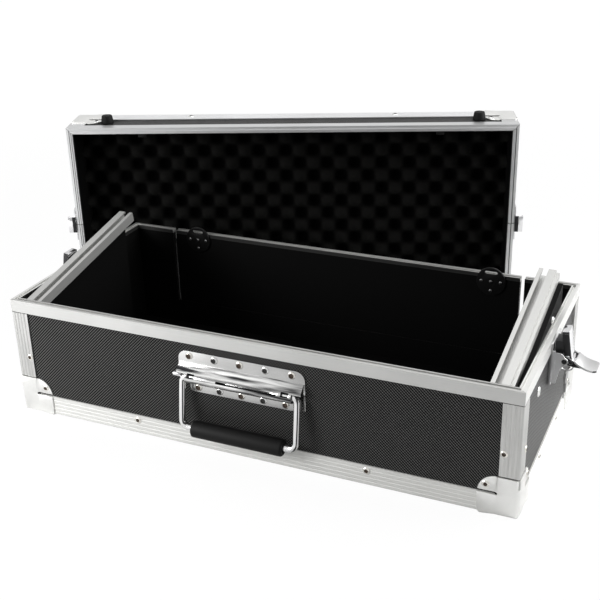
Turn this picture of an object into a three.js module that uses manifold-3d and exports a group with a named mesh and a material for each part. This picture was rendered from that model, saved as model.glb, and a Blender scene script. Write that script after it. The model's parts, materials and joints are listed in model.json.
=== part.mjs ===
// Slanted 19-inch rack case with a lift-off lid, in millimetres, +Z up.
// The origin is the centre of the base on the floor. The low end of the rails and the handle face -Y.
// The lid stands on one long side behind the base, turned about +Z, with its open side to the front.
import * as THREE from "three";
import { mergeVertices } from "three/addons/utils/BufferGeometryUtils.js";
import Module from "manifold-3d";

const wasm = await Module();
wasm.setup();

// Driving dimensions
const CASE_WIDTH = 515;
const CASE_DEPTH = 234;
const BASE_HEIGHT = 124.7; // floor to closing plane
const LID_HEIGHT = 60;
const BOARD = 6;
const LEG = 1.3; // leg thickness of the aluminium profiles
const GUARD = 1.2; // sheet of the corner protectors
const SLOT_SPACING = 465.1; // centres of the rack screws
const RAIL_LENGTH = 177; // four rack units
const RAIL_TILT = THREE.MathUtils.degToRad(11);
const LID_YAW = THREE.MathUtils.degToRad(20.3);
const LID_X = -89.4; // middle of the standing lid's rim
const LID_CLEARANCE = 10.4; // from the base's back to the lid's rim, at the left wall
const SEAM = 0.3; // clearance between neighbouring pieces
const OVERRUN = 5; // how far a cutter reaches past a face

// Planes of the base
const HALF_W = CASE_WIDTH / 2;
const HALF_D = CASE_DEPTH / 2;
const WALL_X = HALF_W - LEG;
const WALL_Y = HALF_D - LEG;
const INNER_X = WALL_X - BOARD;
const INNER_Y = WALL_Y - BOARD;
const FLOOR_Z = GUARD + LEG;
const INSIDE_Z = FLOOR_Z + BOARD;
const LID_Y = HALF_D + GUARD + LID_CLEARANCE + (HALF_W + LID_X) * Math.tan(LID_YAW);

const SIDES = [["left", -1], ["right", 1]];
const ENDS = [["front", -1], ["back", 1]];

const aluminium = { color: 0xc9cbcc, roughness: 0.38, metalness: 0.9 };
const laminate = { color: 0x17181a, roughness: 0.55, metalness: 0.0 };
const zincSteel = { color: 0xd7dade, roughness: 0.3, metalness: 0.95 };
const brightSteel = { color: 0xe3e4e6, roughness: 0.16, metalness: 1.0 };
const blackSteel = { color: 0x151515, roughness: 0.4, metalness: 0.6 };
const blackRubber = { color: 0x141414, roughness: 0.75, metalness: 0.0 };
const foamBlack = { color: 0x0b0b0b, roughness: 1.0, metalness: 0.0 };

const part = new THREE.Group();

// Solid of a closed geometry
function solid(geometry) {
  const flat = geometry.index ? geometry.toNonIndexed() : geometry.clone();
  flat.deleteAttribute("normal");
  flat.deleteAttribute("uv");
  const merged = mergeVertices(flat);
  const corners = merged.index.array;
  const kept = [];
  for (let i = 0; i < corners.length; i += 3) {
    const [a, b, c] = corners.slice(i, i + 3);
    if (a !== b && b !== c && c !== a) kept.push(a, b, c);
  }
  return new wasm.Manifold(new wasm.Mesh({
    numProp: 3,
    vertProperties: new Float32Array(merged.attributes.position.array),
    triVerts: new Uint32Array(kept),
  }));
}

// Adds one named piece to a group
function piece(group, name, body, look) {
  const { vertProperties, triVerts } = body.getMesh();
  const geometry = new THREE.BufferGeometry();
  geometry.setAttribute("position", new THREE.BufferAttribute(vertProperties, 3));
  geometry.setIndex(new THREE.BufferAttribute(triVerts, 1));
  const mesh = new THREE.Mesh(geometry, new THREE.MeshStandardMaterial({ ...look, flatShading: true }));
  mesh.name = name;
  group.add(mesh);
  return mesh;
}

function joined(bodies) {
  return bodies.reduce((all, body) => all.add(body));
}

const AXIS_TURNS = {
  x: new THREE.Matrix4().makeBasis(
    new THREE.Vector3(0, 1, 0),
    new THREE.Vector3(0, 0, 1),
    new THREE.Vector3(1, 0, 0),
  ),
  y: new THREE.Matrix4().makeBasis(
    new THREE.Vector3(1, 0, 0),
    new THREE.Vector3(0, 0, 1),
    new THREE.Vector3(0, -1, 0),
  ),
  z: new THREE.Matrix4(),
};

// Geometry of a bar along an axis: outline points are [y, z] along x, [x, z] along y and [x, y] along z
function bar(axis, outline, end1, end2) {
  const from = Math.min(end1, end2);
  const to = Math.max(end1, end2);
  const shape = new THREE.Shape(outline.map(([a, b]) => new THREE.Vector2(a, b)));
  const geometry = new THREE.ExtrudeGeometry(shape, { depth: to - from, bevelEnabled: false });
  geometry.translate(0, 0, axis === "y" ? -to : from);
  return geometry.applyMatrix4(AXIS_TURNS[axis]);
}

function prism(axis, outline, end1, end2) {
  return solid(bar(axis, outline, end1, end2));
}

// Block between two corners, each [x, y, z]
function block(corner1, corner2) {
  const size = corner1.map((v, i) => Math.abs(corner2[i] - v));
  const middle = corner1.map((v, i) => (corner2[i] + v) / 2);
  return solid(new THREE.BoxGeometry(...size).translate(...middle));
}

// Points of an arc from one angle to another, in degrees
function arc(a, b, radius, start, end, steps) {
  const points = [];
  for (let i = 0; i <= steps; i += 1) {
    const angle = THREE.MathUtils.degToRad(start + ((end - start) * i) / steps);
    points.push([a + radius * Math.cos(angle), b + radius * Math.sin(angle)]);
  }
  return points;
}

function circle(a, b, radius, sides) {
  return arc(a, b, radius, 0, 360, sides).slice(1);
}

// Rectangular ring round the walls: distances from the inner wall face outwards, then heights
function wallRing(from, to, low, high) {
  const outer = block([-INNER_X - to, -INNER_Y - to, low], [INNER_X + to, INNER_Y + to, high]);
  const hole = block(
    [-INNER_X - from, -INNER_Y - from, low - OVERRUN],
    [INNER_X + from, INNER_Y + from, high + OVERRUN],
  );
  return outer.subtract(hole);
}

// Boards of the base
const RIM_CAP = 4; // closing profile above the board's edge
const BOARD_TOP = BASE_HEIGHT - RIM_CAP;
const FLAP_HALF = 199.4;
const FLAP_Z = 36.6;
const FLAP_SLIT = 4.4;
const STUB_X = FLAP_HALF + FLAP_SLIT;

// The floor board is rebated by the seam where the profiles' legs and the protectors lie under it
const EDGE_LEG = 20.5;
const GUARD_SPAN = 37.4;

function floorField(inX, inY) {
  const x = HALF_W - inX - SEAM;
  const y = HALF_D - inY - SEAM;
  return block([-x, -y, FLOOR_Z - SEAM], [x, y, INSIDE_Z]);
}

piece(
  part, "floor_panel",
  joined([
    block([-WALL_X, -WALL_Y, FLOOR_Z], [WALL_X, WALL_Y, INSIDE_Z]),
    floorField(EDGE_LEG, GUARD_SPAN),
    floorField(GUARD_SPAN, EDGE_LEG),
  ]),
  laminate,
);
piece(
  part, "front_panel",
  block([-INNER_X, -WALL_Y, INSIDE_Z], [INNER_X, -INNER_Y, BOARD_TOP]),
  laminate,
);
for (const [side, sx] of SIDES) {
  piece(
    part, `${side}_panel`,
    block([sx * INNER_X, -WALL_Y, INSIDE_Z], [sx * WALL_X, WALL_Y, BOARD_TOP]),
    laminate,
  );
}
piece(
  part, "back_panel",
  prism("y", [
    [-INNER_X, INSIDE_Z],
    [INNER_X, INSIDE_Z],
    [INNER_X, BOARD_TOP],
    [STUB_X, BOARD_TOP],
    [STUB_X, FLAP_Z - SEAM],
    [-STUB_X, FLAP_Z - SEAM],
    [-STUB_X, BOARD_TOP],
    [-INNER_X, BOARD_TOP],
  ], INNER_Y, WALL_Y),
  laminate,
);

// Closing profile of the base: a cap over the board's edge with a groove, and an outer flange
const RIM_FLANGE = 12.7;
const RIM_LIP = 1.7;
const RIM_GROOVE = 2.7;
const RIM_GROOVE_DEPTH = 2.4;
const RIM_WIDTH = BOARD + LEG;
const MITRE_GAP = 0.1;

function rimOutline(place) {
  return [
    [0, -RIM_CAP],
    [0, 0],
    [RIM_LIP, 0],
    [RIM_LIP, -RIM_GROOVE_DEPTH],
    [RIM_LIP + RIM_GROOVE, -RIM_GROOVE_DEPTH],
    [RIM_LIP + RIM_GROOVE, 0],
    [RIM_WIDTH, 0],
    [RIM_WIDTH, -RIM_FLANGE],
    [BOARD, -RIM_FLANGE],
    [BOARD, -RIM_CAP],
  ].map(([out, up]) => place(out, BASE_HEIGHT + up));
}

// Wedge that mitres a profile lying along x (at y = end * HALF_D) or along y (at x = side * HALF_W)
function mitreAlongX(end) {
  const outer = HALF_W - MITRE_GAP;
  const inner = outer - RIM_WIDTH;
  const outline = [[-outer, 0], [outer, 0], [inner, RIM_WIDTH], [-inner, RIM_WIDTH]];
  return prism("z", outline.map(([x, d]) => [x, end * (HALF_D - d)]), 0, BASE_HEIGHT + OVERRUN);
}

function mitreAlongY(side) {
  const outer = HALF_D - MITRE_GAP;
  const inner = outer - RIM_WIDTH;
  const outline = [[0, -outer], [0, outer], [RIM_WIDTH, inner], [RIM_WIDTH, -inner]];
  return prism("z", outline.map(([d, y]) => [side * (HALF_W - d), y]), 0, BASE_HEIGHT + OVERRUN);
}

function rimAlongX(end, x1, x2) {
  const outline = rimOutline((out, z) => [end * (INNER_Y + out), z]);
  return prism("x", outline, x1, x2).intersect(mitreAlongX(end));
}

piece(part, "front_rim", rimAlongX(-1, -HALF_W, HALF_W), aluminium);
for (const [side, sx] of SIDES) {
  const outline = rimOutline((out, z) => [sx * (INNER_X + out), z]);
  piece(
    part, `${side}_rim`,
    prism("y", outline, -HALF_D, HALF_D).intersect(mitreAlongY(sx)),
    aluminium,
  );
  piece(part, `back_rim_${side}`, rimAlongX(1, sx * STUB_X, sx * HALF_W), aluminium);
}

// Fluted angle profiles: an outer corner at [0, 0] and two legs that run to -a and to -b
const POST_LEG = 18.2;
const FLUTES = 4;
const FLUTE_WIDTH = 1.2;
const FLUTE_DEPTH = 0.35;
const PROFILE_ROUND = 1.1;
const ROUND_STEPS = 3;

function fluteCentres(leg) {
  const pitch = leg / (FLUTES + 1);
  return Array.from({ length: FLUTES }, (_, i) => (i + 1) * pitch);
}

function angleOutline(leg) {
  const points = [[-leg, -LEG], [-leg, 0]];
  for (const centre of fluteCentres(leg).reverse()) {
    points.push([-centre - FLUTE_WIDTH / 2, 0]);
    points.push([-centre, -FLUTE_DEPTH]);
    points.push([-centre + FLUTE_WIDTH / 2, 0]);
  }
  points.push(...arc(-PROFILE_ROUND, -PROFILE_ROUND, PROFILE_ROUND, 90, 0, ROUND_STEPS));
  for (const centre of fluteCentres(leg)) {
    points.push([0, -centre + FLUTE_WIDTH / 2]);
    points.push([-FLUTE_DEPTH, -centre]);
    points.push([0, -centre - FLUTE_WIDTH / 2]);
  }
  points.push([0, -leg], [-LEG, -leg], [-LEG, -LEG]);
  return points;
}

const FLANGE_Z = BASE_HEIGHT - RIM_FLANGE;
for (const [end, sy] of ENDS) {
  for (const [side, sx] of SIDES) {
    const outline = angleOutline(POST_LEG).map(([a, b]) => [sx * (HALF_W + a), sy * (HALF_D + b)]);
    piece(part, `${end}_${side}_post`, prism("z", outline, GUARD, FLANGE_Z - SEAM), aluminium);
  }
  const outline = angleOutline(EDGE_LEG).map(([a, b]) => [sy * (HALF_D + a), GUARD - b]);
  const reach = HALF_W - EDGE_LEG - SEAM;
  piece(part, `${end}_bottom_edge`, prism("x", outline, -reach, reach), aluminium);
}
for (const [side, sx] of SIDES) {
  const outline = angleOutline(EDGE_LEG).map(([a, b]) => [sx * (HALF_W + a), GUARD - b]);
  const reach = HALF_D - POST_LEG - SEAM;
  piece(part, `${side}_bottom_edge`, prism("y", outline, -reach, reach), aluminium);
}

// Corner protector of three leaves folded from one sheet, with the third fold left open at its free end
const GUARD_LOBE = 17.6;
const GUARD_ROUND = 5;
const GUARD_SLIT = 2;
const GUARD_SLIT_LENGTH = 9;
const LOBE_STEPS = 8;
const TIP_STEPS = 3;
const GUARD_HEIGHT = 39.6;

// Leaf outline from the folded corner at [0, 0]
function leafOutline(span, height) {
  return [
    [0, 0],
    ...arc(span - GUARD_ROUND, GUARD_ROUND, GUARD_ROUND, -90, 0, TIP_STEPS),
    ...arc(span - GUARD_LOBE, height - GUARD_LOBE, GUARD_LOBE, 0, 90, LOBE_STEPS),
    ...arc(GUARD_ROUND, height - GUARD_ROUND, GUARD_ROUND, 90, 180, TIP_STEPS),
  ];
}

// Protector whose outer corner is at the given point; the signs point inwards
function protector([x, y, z], [sx, sy, sz], sheet) {
  const across = ([a, c]) => [x + sx * a, z + sz * c];
  const along = ([b, c]) => [y + sy * b, z + sz * c];
  const flat = ([a, b]) => [x + sx * a, y + sy * b];
  const front = prism("y", leafOutline(GUARD_SPAN, GUARD_HEIGHT).map(across), y, y + sy * sheet);
  const flank = prism("x", leafOutline(GUARD_SPAN, GUARD_HEIGHT).map(along), x, x + sx * sheet);
  const plate = [
    [0, 0],
    ...arc(GUARD_SPAN - GUARD_ROUND, GUARD_ROUND, GUARD_ROUND, -90, 0, TIP_STEPS),
    ...arc(GUARD_SPAN - GUARD_LOBE, GUARD_SPAN - GUARD_LOBE, GUARD_LOBE, 0, 90, LOBE_STEPS),
    ...arc(GUARD_ROUND, GUARD_SPAN - GUARD_ROUND, GUARD_ROUND, 90, 180, TIP_STEPS),
  ];
  const base = prism("z", plate.map(flat), z, z + sz * sheet);
  const slit = block(
    [x - sx * OVERRUN, y - sy * OVERRUN, z + sz * (GUARD_HEIGHT - GUARD_SLIT_LENGTH)],
    [x + sx * GUARD_SLIT, y + sy * GUARD_SLIT, z + sz * (GUARD_HEIGHT + OVERRUN)],
  );
  return joined([front, flank, base]).subtract(slit);
}

for (const [end, sy] of ENDS) {
  for (const [side, sx] of SIDES) {
    const corner = [sx * (HALF_W + GUARD), sy * (HALF_D + GUARD), 0];
    piece(part, `${end}_${side}_protector`, protector(corner, [-sx, -sy, 1], GUARD), zincSteel);
  }
}

// Rack rails: extrusions with a screw channel under a slot, and a lower ledge on the outside
const RAIL_WIDTH = 19.5;
const RAIL_HEIGHT = 10;
const RAIL_SLOT = 5.4;
const RAIL_LIP = 1.8;
const CHANNEL_WIDTH = 10.4;
const SLOT_FROM_EDGE = 6.5;
const LEDGE_WIDTH = 3;
const LEDGE_DROP = 3;
const RAIL_X = SLOT_SPACING / 2 - SLOT_FROM_EDGE; // inner edge
const RAIL_TOP_Z = BASE_HEIGHT - SEAM; // top of the low end
const RAIL_Y = -INNER_Y + SEAM;
const BOARD_INNER_X = 235.2;
const BOARD_BACK_Y = 60.5;

const railOutline = [
  [0, 0],
  [RAIL_WIDTH, 0],
  [RAIL_WIDTH, RAIL_HEIGHT - LEDGE_DROP],
  [RAIL_WIDTH - LEDGE_WIDTH, RAIL_HEIGHT - LEDGE_DROP],
  [RAIL_WIDTH - LEDGE_WIDTH, RAIL_HEIGHT],
  [SLOT_FROM_EDGE + RAIL_SLOT / 2, RAIL_HEIGHT],
  [SLOT_FROM_EDGE + RAIL_SLOT / 2, RAIL_HEIGHT - RAIL_LIP],
  [SLOT_FROM_EDGE + CHANNEL_WIDTH / 2, RAIL_HEIGHT - RAIL_LIP],
  [SLOT_FROM_EDGE + CHANNEL_WIDTH / 2, RAIL_LIP],
  [SLOT_FROM_EDGE - CHANNEL_WIDTH / 2, RAIL_LIP],
  [SLOT_FROM_EDGE - CHANNEL_WIDTH / 2, RAIL_HEIGHT - RAIL_LIP],
  [SLOT_FROM_EDGE - RAIL_SLOT / 2, RAIL_HEIGHT - RAIL_LIP],
  [SLOT_FROM_EDGE - RAIL_SLOT / 2, RAIL_HEIGHT],
  [0, RAIL_HEIGHT],
];
const railFootY = RAIL_Y + RAIL_HEIGHT * Math.sin(RAIL_TILT);
const railFootZ = RAIL_TOP_Z - RAIL_HEIGHT * Math.cos(RAIL_TILT);

// Height of the wedge board's top edge under the rail
function wedgeTop(y) {
  return railFootZ + (y - railFootY) * Math.tan(RAIL_TILT) - SEAM;
}

for (const [side, sx] of SIDES) {
  const rail = piece(
    part, `${side}_rail`,
    prism("y", railOutline.map(([u, v]) => [sx * (RAIL_X + u), v]), 0, RAIL_LENGTH),
    aluminium,
  );
  rail.position.set(0, railFootY, railFootZ);
  rail.rotation.x = RAIL_TILT;
  const outline = [
    [-INNER_Y, INSIDE_Z],
    [BOARD_BACK_Y, INSIDE_Z],
    [BOARD_BACK_Y, wedgeTop(BOARD_BACK_Y)],
    [-INNER_Y, wedgeTop(-INNER_Y)],
  ];
  piece(
    part, `${side}_rail_board`,
    prism("x", outline, sx * BOARD_INNER_X, sx * INNER_X),
    laminate,
  );
}

// Handle plate: pressed sheet with a folded shoulder and a barrel that holds the ends of the bail
const HANDLE_X = -2.8;
const PLATE = 1.5;
const PLATE_HALF = 64.6;
const PLATE_LOWER_HALF = 53.8;
const PLATE_DROP = 7.5; // below the closing profile's flange
const PLATE_HEIGHT = 41.5;
const PLATE_TOP_Z = FLANGE_Z - PLATE_DROP;
const PLATE_Z = PLATE_TOP_Z - PLATE_HEIGHT;
const PLATE_CORNER = 9;
const PLATE_LOWER_CORNER = 3;
const CORNER_STEPS = 5;
const WIRE_RADIUS = 3.4;
const BARREL_RADIUS = 5.8;
const BARREL_HALF = 54.5;
const BARREL_Y = -WALL_Y - BARREL_RADIUS - SEAM;
const BARREL_UP = 17;
const BARREL_Z = PLATE_Z + BARREL_UP;
const ROUND_SIDES = 20;
const SHOULDER_HALF = 63.5;
const SHOULDER_LOW = 4.2; // clear of the wire's elbows
const SHOULDER_LIP = 2;
const SHOULDER_HIGH = 13;
const SHOULDER_OUT = 3;
const STRIP_WIDTH = 2.4;
const STRIP_DROP = 15;
const WINDOW_WIDTH = 7.6;
const WINDOW_HEIGHT = 4;
const WINDOW_UP = 3.4;
const WINDOW_DEPTH = 3;
const WINDOW_X = 48;
const MOUTH_LEFT = -21.4;
const MOUTH_RIGHT = 40.1;
const MOUTH_HEIGHT = 2.2;
const MOUTH_UP = 2.4;
const SLIT_HALF = 46;
const SLIT_UP = 9.6;
const SLIT_Z = PLATE_Z + SLIT_UP;
const SLIT_HEIGHT = 1.5;

const plateLowerX = PLATE_LOWER_HALF - PLATE_LOWER_CORNER;
const plateLowerZ = PLATE_Z + PLATE_LOWER_CORNER;
const plateUpperX = PLATE_HALF - PLATE_CORNER;
const plateUpperZ = PLATE_TOP_Z - PLATE_CORNER;
const plateSheet = prism("y", [
  ...arc(-plateLowerX, plateLowerZ, PLATE_LOWER_CORNER, 180, 270, ROUND_STEPS),
  ...arc(plateLowerX, plateLowerZ, PLATE_LOWER_CORNER, -90, 0, ROUND_STEPS),
  [PLATE_LOWER_HALF, BARREL_Z],
  [PLATE_HALF, BARREL_Z + BARREL_RADIUS],
  ...arc(plateUpperX, plateUpperZ, PLATE_CORNER, 0, 90, CORNER_STEPS),
  ...arc(-plateUpperX, plateUpperZ, PLATE_CORNER, 90, 180, CORNER_STEPS),
  [-PLATE_HALF, BARREL_Z + BARREL_RADIUS],
  [-PLATE_LOWER_HALF, BARREL_Z],
], -WALL_Y, -WALL_Y - PLATE);
const barrel = joined([
  prism("x", circle(BARREL_Y, BARREL_Z, BARREL_RADIUS, ROUND_SIDES), -BARREL_HALF, BARREL_HALF),
  block(
    [-BARREL_HALF, BARREL_Y, BARREL_Z - BARREL_RADIUS],
    [BARREL_HALF, -WALL_Y, BARREL_Z + BARREL_RADIUS],
  ),
]);
const bore = prism(
  "x",
  circle(BARREL_Y, BARREL_Z, WIRE_RADIUS + SEAM, ROUND_SIDES),
  -BARREL_HALF - OVERRUN,
  BARREL_HALF + OVERRUN,
);
const shoulderLow = BARREL_Z + SHOULDER_LOW;
const shoulder = prism("x", [
  [-WALL_Y, shoulderLow],
  [BARREL_Y - SHOULDER_OUT, shoulderLow],
  [BARREL_Y - SHOULDER_OUT, shoulderLow + SHOULDER_LIP],
  [-WALL_Y - PLATE, BARREL_Z + SHOULDER_HIGH],
  [-WALL_Y, BARREL_Z + SHOULDER_HIGH],
], -SHOULDER_HALF, SHOULDER_HALF);
let handlePlate = joined([plateSheet, barrel, shoulder]);
for (const [, sx] of SIDES) {
  handlePlate = handlePlate.add(block(
    [sx * (PLATE_HALF - STRIP_WIDTH), -WALL_Y, BARREL_Z - STRIP_DROP],
    [sx * PLATE_HALF, -WALL_Y - PLATE, plateUpperZ],
  ));
}
handlePlate = handlePlate.subtract(bore);
const barrelFront = BARREL_Y - BARREL_RADIUS - OVERRUN;
const windowZ = BARREL_Z + WINDOW_UP - WINDOW_HEIGHT / 2;
for (const [, sx] of SIDES) {
  handlePlate = handlePlate.subtract(block(
    [sx * WINDOW_X - WINDOW_WIDTH / 2, barrelFront, windowZ],
    [sx * WINDOW_X + WINDOW_WIDTH / 2, BARREL_Y + WINDOW_DEPTH, windowZ + WINDOW_HEIGHT],
  ));
}
const mouthZ = BARREL_Z + MOUTH_UP - MOUTH_HEIGHT / 2;
handlePlate = handlePlate.subtract(block(
  [MOUTH_LEFT, barrelFront, mouthZ],
  [MOUTH_RIGHT, BARREL_Y, mouthZ + MOUTH_HEIGHT],
)).subtract(block(
  [-SLIT_HALF, -WALL_Y - PLATE - OVERRUN, SLIT_Z],
  [SLIT_HALF, -WALL_Y + OVERRUN, SLIT_Z + SLIT_HEIGHT],
));
piece(part, "handle_plate", handlePlate.translate([HANDLE_X, 0, 0]), zincSteel);

// Handle: a bent wire bail that turns in the barrel, with a grip sleeve on its lower run
const BAIL_HALF = 59;
const BAIL_DROP = 51;
const BAIL_END = 28; // where the wire ends inside the barrel
const BAIL_TOP_BEND = 5;
const BAIL_BEND = 8;
const BAIL_LEAN = THREE.MathUtils.degToRad(8.5);
const GRIP_HALF = 47;
const GRIP_RADIUS = 8.2;
const GRIP_EDGE = 1.2;
const BEND_STEPS = 5;
const WIRE_SIDES = 12;
const GRIP_SIDES = 24;

// Path through given stations, with straight runs between bends
class StationPath extends THREE.Curve {
  constructor(stations) {
    super();
    this.stations = stations;
  }

  getPointAt(share) {
    return this.stations[Math.round(share * (this.stations.length - 1))].point.clone();
  }

  getTangentAt(share) {
    return this.stations[Math.round(share * (this.stations.length - 1))].tangent.clone();
  }
}

// Stations along corners [a, b, bend radius] in the XZ plane
function bentStations(corners, steps) {
  const at = corners.map(([a, b]) => new THREE.Vector3(a, 0, b));
  const runs = at.slice(1).map((end, i) => end.clone().sub(at[i]).normalize());
  const stations = [];
  for (let i = 0; i < at.length; i += 1) {
    const incoming = runs[Math.max(i - 1, 0)];
    const outgoing = runs[Math.min(i, runs.length - 1)];
    const radius = corners[i][2];
    if (radius === 0) {
      stations.push({ point: at[i], tangent: incoming });
      continue;
    }
    const turn = incoming.angleTo(outgoing);
    const start = at[i].clone().addScaledVector(incoming, -radius * Math.tan(turn / 2));
    const inward = outgoing.clone().addScaledVector(incoming, -outgoing.dot(incoming)).normalize();
    for (let j = 0; j <= steps; j += 1) {
      const angle = (turn * j) / steps;
      const point = start.clone()
        .addScaledVector(incoming, radius * Math.sin(angle))
        .addScaledVector(inward, radius * (1 - Math.cos(angle)));
      const tangent = incoming.clone()
        .multiplyScalar(Math.cos(angle))
        .addScaledVector(inward, Math.sin(angle));
      stations.push({ point, tangent });
    }
  }
  return stations;
}

function wire(stations, radius, sides) {
  const section = new THREE.Shape(circle(0, 0, radius, sides).map(([a, b]) => new THREE.Vector2(a, b)));
  return solid(new THREE.ExtrudeGeometry(section, {
    steps: stations.length - 1,
    extrudePath: new StationPath(stations),
    bevelEnabled: false,
  }));
}

const handle = new THREE.Group();
handle.position.set(HANDLE_X, BARREL_Y, BARREL_Z);
handle.rotation.x = -BAIL_LEAN;
part.add(handle);
const bailCorners = [
  [-BAIL_END, 0, 0],
  [-BAIL_HALF, 0, BAIL_TOP_BEND],
  [-BAIL_HALF, -BAIL_DROP, BAIL_BEND],
  [BAIL_HALF, -BAIL_DROP, BAIL_BEND],
  [BAIL_HALF, 0, BAIL_TOP_BEND],
  [BAIL_END, 0, 0],
];
piece(
  handle, "handle_bail",
  wire(bentStations(bailCorners, BEND_STEPS), WIRE_RADIUS, WIRE_SIDES),
  brightSteel,
);
const gripProfile = [
  [WIRE_RADIUS + SEAM, -GRIP_HALF],
  [GRIP_RADIUS - GRIP_EDGE, -GRIP_HALF],
  [GRIP_RADIUS, -GRIP_HALF + GRIP_EDGE],
  [GRIP_RADIUS, GRIP_HALF - GRIP_EDGE],
  [GRIP_RADIUS - GRIP_EDGE, GRIP_HALF],
  [WIRE_RADIUS + SEAM, GRIP_HALF],
  [WIRE_RADIUS + SEAM, -GRIP_HALF],
];
const gripTurned = new THREE.LatheGeometry(gripProfile.map(([r, x]) => new THREE.Vector2(r, x)), GRIP_SIDES)
  .rotateZ(-Math.PI / 2)
  .translate(0, 0, -BAIL_DROP);
piece(handle, "handle_grip", solid(gripTurned), blackRubber);

// Draw latches on both side walls, photographed open
const LATCH_HALF = 17.5;
const LATCH_HEIGHT = 41;
const LATCH_DROP = 3;
const LATCH_TOP_Z = BASE_HEIGHT - LATCH_DROP;
const LATCH_Z = LATCH_TOP_Z - LATCH_HEIGHT;
const LATCH_SHEET = 1.5;
const CHEEK_Y = 12.3;
const CHEEK = 1.5;
const PIVOT_OUT = 11.3;
const PIVOT_X = HALF_W + PIVOT_OUT;
const PIVOT_UP = 23.3;
const PIVOT_Z = LATCH_Z + PIVOT_UP;
const PIVOT_RADIUS = 2;
const CHEEK_ROUND = 3.7;
const CHEEK_ARC_START = -60;
const CHEEK_ARC_END = 75;
const CHEEK_FOOT = 4.8;
const CHEEK_WAIST = 8.5;
const CHEEK_WAIST_DROP = 7;
const CHEEK_RISE = 8;
const GUIDE_HALF = 7.6;
const GUIDE_OUT = 8.8;
const GUIDE_CHAMFER = 3.5; // room for the hook's knuckle
const GUIDE_DROP = 6.4;
const GUIDE_RISE = 17;
const WING_OUT = 4;
const WING_DROP = 8;
const WING_RISE = 11;
const PIN_SIDES = 16;

function latchBase(sx) {
  const flip = ([x, z]) => [sx * x, z];
  const sheetX = HALF_W + LATCH_SHEET;
  const bodies = [
    block([sx * HALF_W, -LATCH_HALF, LATCH_Z], [sx * sheetX, LATCH_HALF, LATCH_TOP_Z]),
    block([sx * WALL_X, -LATCH_HALF, LATCH_Z], [sx * sheetX, LATCH_HALF, FLANGE_Z - SEAM]),
  ];
  const cheekOutline = [
    [HALF_W, LATCH_Z],
    [HALF_W + CHEEK_FOOT, LATCH_Z],
    [HALF_W + CHEEK_WAIST, PIVOT_Z - CHEEK_WAIST_DROP],
    ...arc(PIVOT_X, PIVOT_Z, CHEEK_ROUND, CHEEK_ARC_START, CHEEK_ARC_END, CORNER_STEPS),
    [HALF_W + CHEEK_WAIST, PIVOT_Z + CHEEK_RISE],
    [HALF_W, PIVOT_Z + CHEEK_RISE],
  ];
  for (const sy of [-1, 1]) {
    bodies.push(prism("y", cheekOutline.map(flip), sy * CHEEK_Y, sy * (CHEEK_Y + CHEEK)));
    bodies.push(block(
      [sx * HALF_W, sy * (LATCH_HALF - LATCH_SHEET), PIVOT_Z - WING_DROP],
      [sx * (HALF_W + WING_OUT), sy * LATCH_HALF, PIVOT_Z + WING_RISE],
    ));
  }
  const pinHole = prism(
    "y",
    circle(PIVOT_X, PIVOT_Z, PIVOT_RADIUS + SEAM, PIN_SIDES).map(flip),
    -LATCH_HALF,
    LATCH_HALF,
  );
  const guideX = HALF_W + GUIDE_OUT;
  const guide = prism("y", [
    [HALF_W, PIVOT_Z - GUIDE_DROP],
    [guideX - GUIDE_CHAMFER, PIVOT_Z - GUIDE_DROP],
    [guideX, PIVOT_Z - GUIDE_DROP + GUIDE_CHAMFER],
    [guideX, PIVOT_Z + GUIDE_RISE],
    [HALF_W, PIVOT_Z + GUIDE_RISE],
  ].map(flip), -GUIDE_HALF, GUIDE_HALF);
  return joined(bodies).subtract(pinHole).add(guide);
}

// The right-hand latch carries a small bent lug with the keys
const LUG_OUT = 9.5;
const LUG_UP = 5.3;
const LUG_Z = LATCH_Z + LUG_UP;
const LUG_HEIGHT = 8;
const LUG_TOP_Z = LUG_Z + LUG_HEIGHT;
const LUG_HOLE_BACK = 6;
const LUG_HOLE_Y = LATCH_HALF + LUG_HOLE_BACK;
const LUG_HOLE_UP = 4.5;
const LUG_HOLE_Z = LUG_Z + LUG_HOLE_UP;
const LUG_HOLE = 2.2;
const LUG_SHEET = 2.4;
const LUG_BACK = 10;

function keyLug() {
  const lugX = HALF_W + LUG_OUT;
  const foot = block(
    [HALF_W, LATCH_HALF - OVERRUN, LUG_Z],
    [HALF_W + LATCH_SHEET, LATCH_HALF + LUG_SHEET, LUG_TOP_Z],
  );
  const arm = block([HALF_W, LATCH_HALF, LUG_Z], [lugX, LATCH_HALF + LUG_SHEET, LUG_TOP_Z]);
  const tab = block([lugX - LUG_SHEET, LATCH_HALF, LUG_Z], [lugX, LATCH_HALF + LUG_BACK, LUG_TOP_Z]);
  const hole = prism("x", circle(LUG_HOLE_Y, LUG_HOLE_Z, LUG_HOLE, PIN_SIDES), HALF_W, lugX + OVERRUN);
  return joined([foot, arm, tab]).subtract(hole);
}

for (const [side, sx] of SIDES) {
  const base = sx > 0 ? latchBase(sx).add(keyLug()) : latchBase(sx);
  piece(part, `${side}_latch_base`, base, brightSteel);
}

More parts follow.
